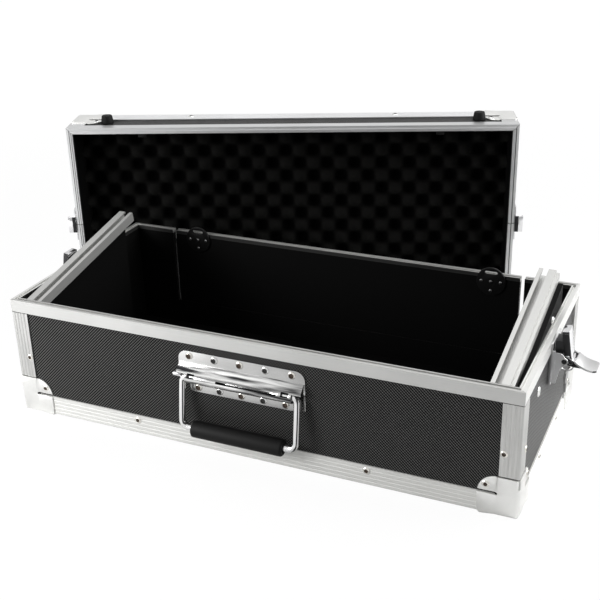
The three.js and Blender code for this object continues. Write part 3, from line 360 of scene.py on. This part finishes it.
def settle(piece, material, slot, *nodes, body=None):
    """Finish and body of a piece, and the CAD nodes that it stands for. The slot argument is not used."""
    piece.data.materials.clear()
    piece.data.materials.append(material)
    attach(piece, body or body_of[nodes[0]])
    if nodes:
        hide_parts(*nodes)


def plated(name, dark, light, rough):
    """Plated steel, faintly clouded and scuffed."""
    material, spot = new_material(name, {"Metallic": 1.0})
    cloud = spot.noise(60, 4, 0.6)
    scuffs = spot.stretched(300, 900, 300).noise(1, 3, 0.7)
    feed(material, {
        "Base Color": (0.7 * cloud + 0.3 * scuffs).between(dark, light),
        "Roughness": rough + 0.1 * cloud + 0.08 * scuffs,
        "Normal": (cloud + 0.3 * scuffs).bump(0.00004, 0.3),
    })
    return material


zinc = plated("zinc_plate", dark=(0.78, 0.78, 0.765), light=(0.92, 0.92, 0.9), rough=0.3)


def mesh_where(kind, test):
    """Selects the vertices, edges or faces of the piece in edit mode whose place passes a test."""
    piece = bpy.context.object
    bpy.ops.mesh.select_mode(type=kind)
    bpy.ops.mesh.select_all(action="DESELECT")
    bpy.ops.object.mode_set(mode="OBJECT")
    corners = piece.data.vertices
    if kind == "VERT":
        for corner in corners:
            corner.select = test(corner.co)
    elif kind == "EDGE":
        for edge in piece.data.edges:
            edge.select = all(test(corners[i].co) for i in edge.vertices)
    else:
        for face in piece.data.polygons:
            face.select = test(face.center)
    bpy.ops.object.mode_set(mode="EDIT")


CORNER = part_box("front_left_protector")[0]
SLOT_LOW = 0.0216
SLOT_HIGH = 0.0237
SLOT_END = 0.045
LOBE_FROM = 0.0196
LOBE_STEP = 0.002
LOBE_SET_BACK = 0.0012
CUTTER_OUT = 0.002
CUTTER_IN = 0.003
GUARD_SHEET = 0.002
SLACK = 0.0001
TOUCHING = 0.00002
FOLD_RADIUS = 0.004

guard = cad_copy("front_left_protector", "protector_pattern")
for leaf in (0, 1):
    low = Vector((-CUTTER_OUT, -CUTTER_OUT, SLOT_LOW))
    high = Vector((CUTTER_IN, CUTTER_IN, SLOT_HIGH))
    low[leaf] = LOBE_FROM
    high[leaf] = SLOT_END
    middle = CORNER + (low + high) / 2
    bpy.ops.mesh.primitive_cube_add(size=1, location=middle, scale=high - low)
    knife = bpy.context.object
    modify(guard, "BOOLEAN", {"object": knife, "operation": "DIFFERENCE", "solver": "EXACT"})
    bpy.data.objects.remove(knife)
solo(guard)
bpy.ops.object.mode_set(mode="EDIT")
for place, normal in (
    ((LOBE_FROM, 0, 0), (1, 0, 0)), ((LOBE_FROM + LOBE_STEP, 0, 0), (1, 0, 0)),
    ((0, LOBE_FROM, 0), (0, 1, 0)), ((0, LOBE_FROM + LOBE_STEP, 0), (0, 1, 0)),
    ((0, 0, SLOT_HIGH), (0, 0, 1)),
):
    bpy.ops.mesh.select_all(action="SELECT")
    bpy.ops.mesh.bisect(plane_co=CORNER + Vector(place), plane_no=normal)


def on_lobe(co, leaf):
    past_step = co[leaf] > CORNER[leaf] + LOBE_FROM + LOBE_STEP - SLACK
    return past_step and co.z > SLOT_HIGH - SLACK and co[1 - leaf] < CORNER[1 - leaf] + GUARD_SHEET


for leaf, shift in ((0, (0, LOBE_SET_BACK, 0)), (1, (LOBE_SET_BACK, 0, 0))):
    mesh_where("VERT", lambda co: on_lobe(co, leaf))
    bpy.ops.transform.translate(value=shift)


def on_fold(co):
    """Whether a point lies on two of the sheet's three outer planes."""
    return sum(abs(co[axis] - CORNER[axis]) < TOUCHING for axis in (0, 1, 2)) > 1


mesh_where("EDGE", on_fold)
bpy.ops.mesh.bevel(offset=FOLD_RADIUS, segments=6)
bpy.ops.object.mode_set(mode="OBJECT")
rounded(guard, 0.00025, limit=50, smooth=30)

# Rounding leaves a few vertices outside the sheet's planes. They are pressed back flat.
bpy.ops.object.mode_set(mode="EDIT")
for axis, flat in enumerate(((0, 1, 1), (1, 0, 1), (1, 1, 0))):
    mesh_where("VERT", lambda co: co[axis] < CORNER[axis])
    bpy.ops.transform.resize(value=flat, center_override=CORNER)
bpy.ops.object.mode_set(mode="OBJECT")

# The lid stands on its front long side. Its seat takes a place across, up and away from
# the middle of its rim to where it stands.
LID_TURN = math.radians(20.3)
LID_PLACE = Vector((-0.0894, 0.19078, -CORNER.y))
LID_HEIGHT = 0.06
LID_SEAT = (
    Matrix.Translation(LID_PLACE)
    @ Matrix((
        (-math.cos(LID_TURN), 0, -math.sin(LID_TURN), 0),
        (-math.sin(LID_TURN), 0, math.cos(LID_TURN), 0),
        (0, 1, 0, 0),
        (0, 0, 0, 1),
    ))
)


def seated_guard(node, seat, signs, corner):
    """The pattern's mesh in another corner: signs point inwards from the corner."""
    piece = bpy.data.objects.new(node + "_pressed", guard.data.copy())
    bpy.context.scene.collection.objects.link(piece)
    turned = Matrix.Diagonal((*signs, 1)) @ Matrix.Translation(-CORNER)
    piece.matrix_world = seat @ Matrix.Translation(corner) @ turned
    solo(piece)
    bpy.ops.object.transform_apply(location=True, rotation=True, scale=True)
    bpy.ops.object.mode_set(mode="EDIT")
    bpy.ops.mesh.select_all(action="SELECT")
    bpy.ops.mesh.normals_make_consistent(inside=False)
    bpy.ops.object.mode_set(mode="OBJECT")
    settle(piece, zinc, "zinc_steel", node)


for end, sy in (("front", -1), ("back", 1)):
    for side, sx in (("left", -1), ("right", 1)):
        at_floor = (-sx * CORNER.x, -sy * CORNER.y, 0)
        at_lid_top = (-sx * CORNER.x, -sy * CORNER.y, LID_HEIGHT)
        seated_guard(f"{end}_{side}_protector", Matrix.Identity(4), (-sx, -sy, 1), at_floor)
        seated_guard(f"lid_{end}_{side}_protector", LID_SEAT, (-sx, -sy, -1), at_lid_top)
bpy.data.objects.remove(guard)


# Blind rivets of the profiles and protectors: a low dome with a hole where the mandrel broke
# off, the hole coloured dark as painted shade. Steel shows in the lid's holes, painted
# near-black; copper-coloured mandrels in the base's, painted a shaded copper-brown.
def two_tone(name, bright, deep, rough):
    """Metal that is deep-coloured and dull on faces marked as dark: mostly painted shade, and painted
    reflection on the bail.
    """
    material, spot = new_material(name, {})
    dark = spot.node("ShaderNodeAttribute", "Fac", {"attribute_name": "dark"})
    cloud = spot.noise(70, 3)
    feed(material, {
        "Base Color": (dark + 0.06 * cloud).between(bright, deep),
        "Metallic": 1 - 0.9 * dark,
        "Roughness": rough + 0.25 * dark + 0.1 * cloud,
        "Normal": cloud.bump(0.00005, 0.4),
    })
    return material


def marked(piece, test):
    """Marks the faces of a piece by a test of centre and normal: 1 is dark, 0 is bright, mostly as painted
    shade.
    """
    layer = piece.data.attributes.new("dark", "FLOAT", "FACE")
    for face in piece.data.polygons:
        layer.data[face.index].value = float(test(face.center, face.normal))


rivet_steel = two_tone("rivet_steel", bright=(0.82, 0.82, 0.81), deep=(0.012, 0.011, 0.01), rough=0.2)
rivet_copper = two_tone("rivet_copper", bright=(0.85, 0.83, 0.78), deep=(0.045, 0.027, 0.016), rough=0.2)


def rivet_head(radius, height, hole):
    """Dome over the origin, facing +Z, with a marked hole."""
    rim = height * 0.3
    bpy.ops.mesh.primitive_cylinder_add(vertices=16, radius=radius, depth=rim, location=(0, 0, rim / 2))
    bpy.ops.object.transform_apply(location=True, rotation=True, scale=True)
    pattern = bpy.context.object
    bpy.ops.object.mode_set(mode="EDIT")
    mesh_where("FACE", lambda co: co.z > rim * 0.9)
    wide = radius
    for climb, reach in ((0.4, radius * 0.88), (0.25, radius * 0.72), (0.05, hole)):
        bpy.ops.mesh.extrude_region_move(TRANSFORM_OT_translate={"value": (0, 0, climb * height)})
        bpy.ops.transform.resize(value=(reach / wide, reach / wide, 1), center_override=(0, 0, 0))
        wide = reach
    bpy.ops.mesh.extrude_region_move(TRANSFORM_OT_translate={"value": (0, 0, -0.6 * height)})
    bpy.ops.object.mode_set(mode="OBJECT")
    bpy.ops.object.shade_smooth_by_angle(angle=math.radians(35))
    # The hole is marked dark: painted shade in the hollow.
    marked(pattern, lambda centre, normal: centre.xy.length < hole * 0.995 and centre.z > 0)
    return pattern


def rivets(name, pattern, places, material, body, seat=Matrix.Identity(4)):
    """Copies of a head at (place, outward direction), joined into one piece."""
    copies = []
    for place, outward in places:
        piece = bpy.data.objects.new(name, pattern.data.copy())
        bpy.context.scene.collection.objects.link(piece)
        turned = Vector(outward).to_track_quat("Z", "Y").to_matrix().to_4x4()
        piece.matrix_world = seat @ Matrix.Translation(place) @ turned
        copies.append(piece)
    bpy.context.view_layer.update()
    solo(copies[0])
    for piece in copies:
        piece.select_set(True)
    bpy.ops.object.join()
    bpy.ops.object.transform_apply(location=True, rotation=True, scale=True)
    settle(copies[0], material, "zinc_steel", body=body)


HALF_WIDTH, HALF_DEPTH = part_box("back_right_post")[1].xy
POST_RIVET_IN = 0.0147
POST_RIVET_UP = 0.063
LOBE_RIVET_IN = 0.029
LOBE_RIVET_UP = 0.030
EDGE_RIVET_X = 0.120
EDGE_RIVET_Y = 0.036
EDGE_RIVET_UP = 0.0163
LID_RIVET_X = 0.1199
LID_RIVET_UP = 0.0497


def beside_corner(sx, sy, inset, up):
    """Places on both outer faces at one distance from a corner, each with its outward direction."""
    return [
        ((sx * (HALF_WIDTH - inset), sy * HALF_DEPTH, up), (0, sy, 0)),
        ((sx * HALF_WIDTH, sy * (HALF_DEPTH - inset), up), (sx, 0, 0)),
    ]


on_posts = []
on_lobes = []
on_lid = []
for sx in (-1, 1):
    for sy in (-1, 1):
        on_posts += beside_corner(sx, sy, POST_RIVET_IN, POST_RIVET_UP)
        on_posts.append(((sx * EDGE_RIVET_X, sy * HALF_DEPTH, EDGE_RIVET_UP), (0, sy, 0)))
        on_posts.append(((sx * HALF_WIDTH, sy * EDGE_RIVET_Y, EDGE_RIVET_UP), (sx, 0, 0)))
        on_lobes += beside_corner(sx, sy, LOBE_RIVET_IN, LOBE_RIVET_UP)
        on_lid += beside_corner(sx, sy, LOBE_RIVET_IN, LOBE_RIVET_UP)
        on_lid.append(((sx * LID_RIVET_X, sy * HALF_DEPTH, LID_RIVET_UP), (0, sy, 0)))
head = rivet_head(radius=0.0034, height=0.0010, hole=0.0019)
rivets("post_rivets", head, on_posts, rivet_copper, "case")
rivets("protector_rivets", head, on_lobes, rivet_copper, "case")
rivets("lid_rivets", head, on_lid, rivet_steel, "lid", LID_SEAT)
bpy.data.objects.remove(head)

# Two round-headed steel bolts, put through from outside: one in the right wall and a
# smaller one in the right wedge board.
for name, place, radius, height in (
    ("wall_bolt", (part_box("right_panel")[1].x, -0.0575, 0.0945), 0.005, 0.0014),
    ("board_bolt", (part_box("right_rail_board")[1].x, 0.0162, 0.1290), 0.0036, 0.0018),
):
    bolt = rivet_head(radius, height, hole=0.0006)
    rivets(name, bolt, [(place, (1, 0, 0))], rivet_steel, "case")
    bpy.data.objects.remove(bolt)

# Closing profile round the mouth of the base: an extruded aluminium cap over the boards,
# with a groove that takes the lid's lip, mitred at the corners.
# Lit and shaded copies: the front and back rims are coloured darker than the left and right ones, as
# painted light.
dress(
    aluminium("aluminium_along_x", ALONG_X, dark=0.48, light=0.7, shade=True),
    "front_rim", "back_rim_left", "back_rim_right", "flap_rim",
)
dress(aluminium("aluminium_along_y", ALONG_Y, shade=True), "left_rim", "right_rim")

# Rack rails: aluminium extrusions with a screw channel, screwed down on wedge-shaped
# boards so that the gear stands at a slant.
# Painted shade: the rails are coloured darker than the other aluminium, to dull the top light's mirrored
# highlight.
dress(aluminium("rail_aluminium", ALONG_Y, dark=0.46, light=0.64, rough=0.4), "left_rail", "right_rail")

# Handle plate: a sheet of steel pressed into a shoulder and a folded barrel, chromed and
# held on the front board by ten rivets.
SHOULDER_TOP = 0.0928
BARREL_FOOT = 0.0755
WINDOW_LOW = 0.0786
WINDOW_HIGH = 0.0868
BARREL_INSIDE = -0.1188
PLATE_FACE = -0.1172


def plate_chrome():
    """Chrome with light and dark bands of painted reflection that the plate's folds throw, and painted
    shade that darkens it to the right and in the barrel's window.
    """
    material, spot = new_material("plate_chrome", {"Metallic": 1.0})
    ripples_and_reflections = spot.stretched(22, 120, 330).noise(1, 2, 0.5)
    cloud = spot.noise(22, 2)
    folded = (spot.axis("Z") < SHOULDER_TOP) * (spot.axis("Z") > BARREL_FOOT)
    dark = spot.node("ShaderNodeAttribute", "Fac", {"attribute_name": "dark"})
    # Painted reflections in the folded bands, painted shade growing to the right, and marked faces turned
    # dark as painted shade.
    tone = folded.mix(0.5 + 0.5 * cloud, 4.5 * ripples_and_reflections - 1.5) * (0.82 - 3.2 * spot.axis("X")) * (1 - dark)
    feed(material, {
        "Base Color": tone.between((0.03, 0.03, 0.032), (0.9, 0.9, 0.89)),
        "Roughness": 0.2 + 0.08 * cloud,
        "Normal": ripples_and_reflections.bump(0.0004, 0.4),
    })
    return material


# Faces inside the barrel's window, marked dark as painted shade in the opening.
def barrel_window_shade(centre, normal):
    return WINDOW_LOW < centre.z < WINDOW_HIGH and centre.y < BARREL_INSIDE and normal.y > -0.2


def rivet_row(middle, pitch, up):
    return [((middle + pitch * i, PLATE_FACE, up), (0, -1, 0)) for i in range(-2, 3)]


plate = cad_copy("handle_plate", "handle_plate_pressed")
rounded(plate, 0.0006, segments=3, limit=25)
marked(plate, barrel_window_shade)
settle(plate, plate_chrome(), "zinc_steel", "handle_plate")
upper = rivet_row(middle=-0.0034, pitch=0.0262, up=0.0996)
lower = rivet_row(middle=-0.0029, pitch=0.0225, up=0.0680)
head = rivet_head(radius=0.0038, height=0.0014, hole=0.0026)
rivets("handle_rivets_copper", head, upper[::2] + lower[::2], rivet_copper, "case")
rivets("handle_rivets_steel", head, upper[1::2] + lower[1::2], rivet_steel, "case")
bpy.data.objects.remove(head)

# Bail of the handle: chromed steel wire, bent to shape. It turns in the plate's barrel, and
# its axle stands out past the left bend as a short pin with a rounded end.
AXLE_PLACE = (-0.0673, -0.1218, 0.0812)
AXLE_RADIUS = 0.0023
AXLE_LENGTH = 0.0085


def in_dark_band(centre, normal):
    """Strips of the round wire in which the dark surroundings mirror."""
    return normal.x < -0.85 or 0.35 < normal.x < 0.72


bail = cad_copy("handle_bail", "handle_bail_wire")
modify(bail, "SUBSURF", {"levels": 2, "render_levels": 2})
bpy.ops.object.shade_smooth()
marked(bail, in_dark_band)
bail_chrome = two_tone("bail_chrome", bright=(0.9, 0.9, 0.9), deep=(0.03, 0.03, 0.03), rough=0.12)
settle(bail, bail_chrome, "bright_steel", "handle_bail")

chrome = plated("chrome", dark=(0.6, 0.6, 0.61), light=(0.9, 0.9, 0.91), rough=0.12)
bpy.ops.mesh.primitive_cylinder_add(
    vertices=20, radius=AXLE_RADIUS, depth=AXLE_LENGTH, location=AXLE_PLACE, rotation=(0, math.pi / 2, 0),
)
pin = bpy.context.object
pin.name = "bail_axle_end"
bpy.ops.object.transform_apply(location=True, rotation=True, scale=True)
rounded(pin, 0.0012, segments=3, smooth=50)
settle(pin, chrome, "bright_steel", body="handle")


# Grip of the handle: a black sleeve of grained rubber, moulded as a tube and pushed over
# the bail's lower run.
def black_coat(name, rough, grain, light):
    """Black rubber or paint with a fine grain."""
    material, spot = new_material(name, {"Specular IOR Level": 0.18})
    grit = spot.noise(grain, 3, 0.6)
    cloud = spot.noise(30, 2)
    feed(material, {
        "Base Color": (0.6 * grit + 0.4 * cloud).between((0.004, 0.004, 0.004), (light, light, light)),
        "Roughness": rough + 0.12 * grit + 0.08 * cloud,
        "Normal": grit.bump(0.00008, 0.6),
    })
    return material


rubber = black_coat("black_rubber_grain", rough=0.5, grain=1500, light=0.006)
grip = cad_copy("handle_grip", "handle_grip_sleeve")
rounded(grip, 0.0008, segments=3, limit=30, smooth=60)
settle(grip, rubber, "black_rubber", "handle_grip")

# Draw latches, photographed open: a chromed base with folded cheeks round a guide coloured
# near-black, the cheeks' sides half dark as painted shade, a claw hook folded from sheet with
# its sides coloured near-black, and an arched lever whose ears are dark as painted shade.
GUIDE_HALF = 0.0077
BASE_FACE = 0.2592
EAR_INSIDE = 0.01045
EAR_OUTSIDE = 0.0107
HOOK_FOOT = Vector((0.27403, 0, 0.1023))
HOOK_LEAN = math.radians(9)
FLANGE_UP = 0.0165
FLANGE_IN = 0.0023
FLANGE_ASIDE = 0.0080
FLANGE_SIZE = (0.0062, 0.0005, 0.0215)

latch_steel = two_tone("latch_steel", bright=(0.86, 0.86, 0.87), deep=(0.006, 0.006, 0.007), rough=0.12)
lever_cast = two_tone("lever_cast", bright=(0.58, 0.58, 0.58), deep=(0.006, 0.006, 0.007), rough=0.4)


def faces_sideways(centre, normal):
    return abs(normal.y) > 0.7


def on_latch_base(centre, normal):
    """Dark on the guide, and half dark on the sides of the cheeks as painted shade."""
    guide = abs(centre.y) < GUIDE_HALF and abs(centre.x) > BASE_FACE
    return max(guide, 0.5 * faces_sideways(centre, normal))


# Painted shade: the lever's ears are marked dark, inside and out.
def ear_shade(centre, normal):
    aside = abs(centre.y)
    return aside < EAR_INSIDE and faces_sideways(centre, normal) or aside > EAR_OUTSIDE


def eased(node, ending, width, segments=2):
    """Copy of a CAD node with its edges rounded."""
    piece = cad_copy(node, f"{node}_{ending}")
    rounded(piece, width, segments)
    return piece


up_hook = Vector((-math.sin(HOOK_LEAN), 0, math.cos(HOOK_LEAN)))
into_hook = Vector((-math.cos(HOOK_LEAN), 0, -math.sin(HOOK_LEAN)))
for side, sx in (("left", -1), ("right", 1)):
    base = eased(f"{side}_latch_base", "pressed", 0.0002)
    marked(base, on_latch_base)
    settle(base, latch_steel, "bright_steel", f"{side}_latch_base")

    hook = cad_copy(f"{side}_latch_hook", f"{side}_latch_hook_pressed")
    flanges = []
    for sy in (-1, 1):
        middle = HOOK_FOOT + FLANGE_UP * up_hook + FLANGE_IN * into_hook + Vector((0, sy * FLANGE_ASIDE, 0))
        bpy.ops.mesh.primitive_cube_add(
            size=1, location=(sx * middle.x, middle.y, middle.z), rotation=(0, -sx * HOOK_LEAN, 0),
            scale=FLANGE_SIZE,
        )
        flanges.append(bpy.context.object)
    solo(hook)
    for flange in flanges:
        flange.select_set(True)
    bpy.ops.object.join()
    bpy.ops.object.transform_apply(location=True, rotation=True, scale=True)
    rounded(hook, 0.0002)
    marked(hook, faces_sideways)
    settle(hook, latch_steel, "zinc_steel", f"{side}_latch_hook")

    lever = eased(f"{side}_latch_lever", "pressed", 0.0003)
    marked(lever, ear_shade)
    settle(lever, lever_cast, "bright_steel", f"{side}_latch_lever")

# Key ring of bent wire through the lug of the right latch, with two flat keys stamped
# from nickel-plated sheet.
ring = cad_copy("key_ring", "key_ring_wire")
modify(ring, "SUBSURF", {"levels": 1, "render_levels": 1})
bpy.ops.object.shade_smooth()
settle(ring, chrome, "zinc_steel", "key_ring")
nickel = plated("key_nickel", dark=(0.04, 0.04, 0.04), light=(0.6, 0.6, 0.59), rough=0.2)
for node in ("key_1", "key_2"):
    settle(eased(node, "cut", 0.00015), nickel, "bright_steel", node)

# Cable flap: its hinge of rolled, zinc-plated steel outside, and two black painted discs
# inside that keep the lid's tongues, each held by four small screws.
SCREW_PITCH = 0.010

black_paint = black_coat("black_paint", rough=0.2, grain=2500, light=0.012)
for node, material, slot in (
    ("flap_hinge_fixed", zinc, "zinc_steel"), ("flap_hinge_leaf", zinc, "zinc_steel"),
    ("left_keeper_disc", black_paint, "black_steel"), ("right_keeper_disc", black_paint, "black_steel"),
):
    settle(eased(node, "turned", 0.0003), material, slot, node)

screws = []
for side in ("left", "right"):
    low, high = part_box(f"{side}_keeper_disc")
    middle = (low + high) / 2
    for aside, up in ((0, 0), (-SCREW_PITCH, 0), (SCREW_PITCH, 0), (0, -SCREW_PITCH)):
        screws.append(((middle.x + aside, low.y, middle.z + up), (0, -1, 0)))
screw_steel = two_tone("screw_steel", bright=(0.2, 0.2, 0.2), deep=(0.006, 0.006, 0.006), rough=0.35)
head = rivet_head(radius=0.0017, height=0.0008, hole=0.0006)
rivets("keeper_screws", head, screws, screw_steel, "flap")
bpy.data.objects.remove(head)

# Lid boards: 6 mm plywood under the same patterned laminate outside, smooth black inside,
# held in the lid's profiles.
LID_BOARD_MIDDLE = 0.053


def lid_axes(spot):
    """A point's distance across, up and away from the middle of the standing lid's rim."""
    x = spot.axis("X") - LID_PLACE.x
    y = spot.axis("Y") - LID_PLACE.y
    across = -math.cos(LID_TURN) * x - math.sin(LID_TURN) * y
    away = math.cos(LID_TURN) * y - math.sin(LID_TURN) * x
    return across, spot.axis("Z") - LID_PLACE.z, away


def on_lid_boards(spot):
    across, up, away = lid_axes(spot)
    inside = (abs(across) < INNER_X + SKIN) * (abs(up) < INNER_Y + SKIN) * (away < LID_BOARD_MIDDLE)
    return across + away, up, inside


dress(laminate("lid_laminate", on_lid_boards), "lid_top_panel", "lid_walls")

# Lid profiles: the same aluminium, brushed along each side, mitred at the corners and
# butted in the middle of the short sides.
MITRE = HALF_WIDTH - HALF_DEPTH
MITRE_HALF = 0.00025
GROOVE = 0.2542
GROOVE_HALF = 0.0007
GROOVE_DEPTH = 0.004
LID_MOUTH_SKIN = 0.0004
LIT_EDGES_FROM = 0.03


def lid_aluminium():
    material, spot = new_material("lid_aluminium", {"Metallic": 1.0})
    across, up, away = lid_axes(spot)
    past_mitre = abs(across) - abs(up) - MITRE
    on_short_side = past_mitre > 0
    grains = []
    for fine_across, fine_up in ((25, 2200), (2200, 25)):
        inputs = {0: fine_across * across, 1: fine_up * up, 2: 2200 * away}
        grains.append(spot.node("ShaderNodeCombineXYZ", 0, (), inputs).noise(1, 3, 0.6))
    streaks = on_short_side.mix(*grains)
    cloud = spot.noise(14, 3)
    seam = (abs(past_mitre) < MITRE_HALF) + on_short_side * (abs(up) < DARK_LINE_HALF)
    groove = on_short_side * (abs(abs(across) - GROOVE) < GROOVE_HALF) * (away < GROOVE_DEPTH)
    mouth_shade = (abs(across) < INNER_X + LID_MOUTH_SKIN) * (abs(up) < INNER_Y + LID_MOUTH_SKIN)
    tone = (0.5 * streaks + 0.5 * cloud).mix(0.62, 0.8)
    # The mitre and butt seams are dark joints and the groove is darkened; the mouth carries painted shade,
    # and the edges away from the rim a painted highlight.
    tone = tone * (1 - 0.85 * seam - 0.85 * groove) * (1 - 0.9 * mouth_shade) * (away > LIT_EDGES_FROM).mix(1, 1.3)
    feed(material, {
        "Base Color": tone.between((0, 0, 0), (1, 1.005, 1.01)),
        "Roughness": 0.27 + 0.16 * streaks + 0.06 * cloud,
        "Normal": streaks.bump(0.00003, 0.35),
    })
    return material


dress(lid_aluminium(), "lid_rim", "lid_edges")

# Fittings of the lid: moulded rubber feet on its long side, pressed catches for the hooks
# and two small black tongues that the flap's discs hold.
CATCH_FACE = 0.2597
CATCH_CUT = 0.2622


def behind_catch_lip(centre, normal):
    return CATCH_FACE < abs((LID_SEAT.inverted() @ centre).x) < CATCH_CUT


for side in ("left", "right"):
    foot = eased(f"lid_foot_{side}", "moulded", 0.0006, segments=3)
    settle(foot, rubber, "black_rubber", f"lid_foot_{side}")

    tongue = eased(f"lid_tongue_{side}", "pressed", 0.0003)
    settle(tongue, black_paint, "black_steel", f"lid_tongue_{side}")

    catch = eased(f"lid_catch_{side}", "pressed", 0.0002)
    bpy.ops.object.mode_set(mode="EDIT")
    for x in (-CATCH_CUT, CATCH_CUT):
        bpy.ops.mesh.select_all(action="SELECT")
        bpy.ops.mesh.bisect(
            plane_co=LID_SEAT @ Vector((x, 0, 0)), plane_no=LID_SEAT.to_3x3() @ Vector((1, 0, 0)),
        )
    bpy.ops.object.mode_set(mode="OBJECT")
    marked(catch, behind_catch_lip)
    settle(catch, latch_steel, "bright_steel", f"lid_catch_{side}")

# Foam of the lid: a sheet of black egg-crate foam glued in, with hollows and peaks that
# alternate on a square grid.
COLUMNS = 62
ROWS = 28
FOAM_GAP = 0.0003
FOAM_WIDTH = 2 * (INNER_X - FOAM_GAP)
FOAM_DEPTH = 2 * (INNER_Y - FOAM_GAP)
FOAM_MIDDLE = 0.0385
FOAM_BACK = 0.0512
WAVE = 0.0146
SHADE_PER_METRE = 210


def foam_material():
    """Foam with painted shade that darkens it towards the bottom of its hollows."""
    material, spot = new_material("egg_crate_foam", {"Specular IOR Level": 0.02})
    pores = spot.noise(1400, 4, 0.7)
    height = FOAM_MIDDLE - lid_axes(spot)[2]
    shade = 0.35 + SHADE_PER_METRE * height + 0.3 * pores
    feed(material, {
        "Base Color": shade.between((0.0006, 0.0006, 0.0006), (0.009, 0.009, 0.0085)),
        "Roughness": 0.85 + 0.1 * pores,
        "Normal": pores.bump(0.0006, 0.9),
    })
    return material


def wave(co, odd):
    """Whether a grid point is the middle of a hollow (odd 0) or the top of a peak (odd 1)."""
    column = round((co.x / FOAM_WIDTH + 0.5) * COLUMNS)
    row = round((co.y / FOAM_DEPTH + 0.5) * ROWS)
    return column % 2 == 0 and row % 2 == 0 and (column // 2 + row // 2) % 2 == odd


bpy.ops.object.select_all(action="DESELECT")
bpy.ops.mesh.primitive_grid_add(
    x_subdivisions=COLUMNS, y_subdivisions=ROWS, size=1, location=(0, 0, FOAM_MIDDLE),
)
foam = bpy.context.object
foam.name = "lid_foam_crate"
foam.scale = (FOAM_WIDTH, FOAM_DEPTH, 1)
bpy.ops.object.transform_apply(location=True, rotation=True, scale=True)
bpy.ops.object.mode_set(mode="EDIT")
for odd, shift in ((0, WAVE), (1, -WAVE)):
    mesh_where("VERT", lambda co: wave(co, odd))
    bpy.ops.transform.translate(value=(0, 0, shift))
bpy.ops.object.mode_set(mode="OBJECT")
modify(foam, "SUBSURF", {"levels": 2, "render_levels": 2})
bpy.ops.object.mode_set(mode="EDIT")
bpy.ops.mesh.select_mode(type="EDGE")
bpy.ops.mesh.select_all(action="DESELECT")
bpy.ops.mesh.select_non_manifold()
bpy.ops.mesh.extrude_edges_move(TRANSFORM_OT_translate={"value": (0, 0, 0)})
bpy.ops.transform.resize(value=(1, 1, 0), center_override=(0, 0, FOAM_BACK))
bpy.ops.mesh.edge_face_add()
bpy.ops.mesh.select_all(action="SELECT")
bpy.ops.mesh.normals_make_consistent(inside=False)
bpy.ops.object.mode_set(mode="OBJECT")
bpy.ops.object.shade_smooth_by_angle(angle=math.radians(60))
foam.matrix_world = LID_SEAT
solo(foam)
bpy.ops.object.transform_apply(location=True, rotation=True, scale=True)
settle(foam, foam_material(), "black_foam", "lid_foam")
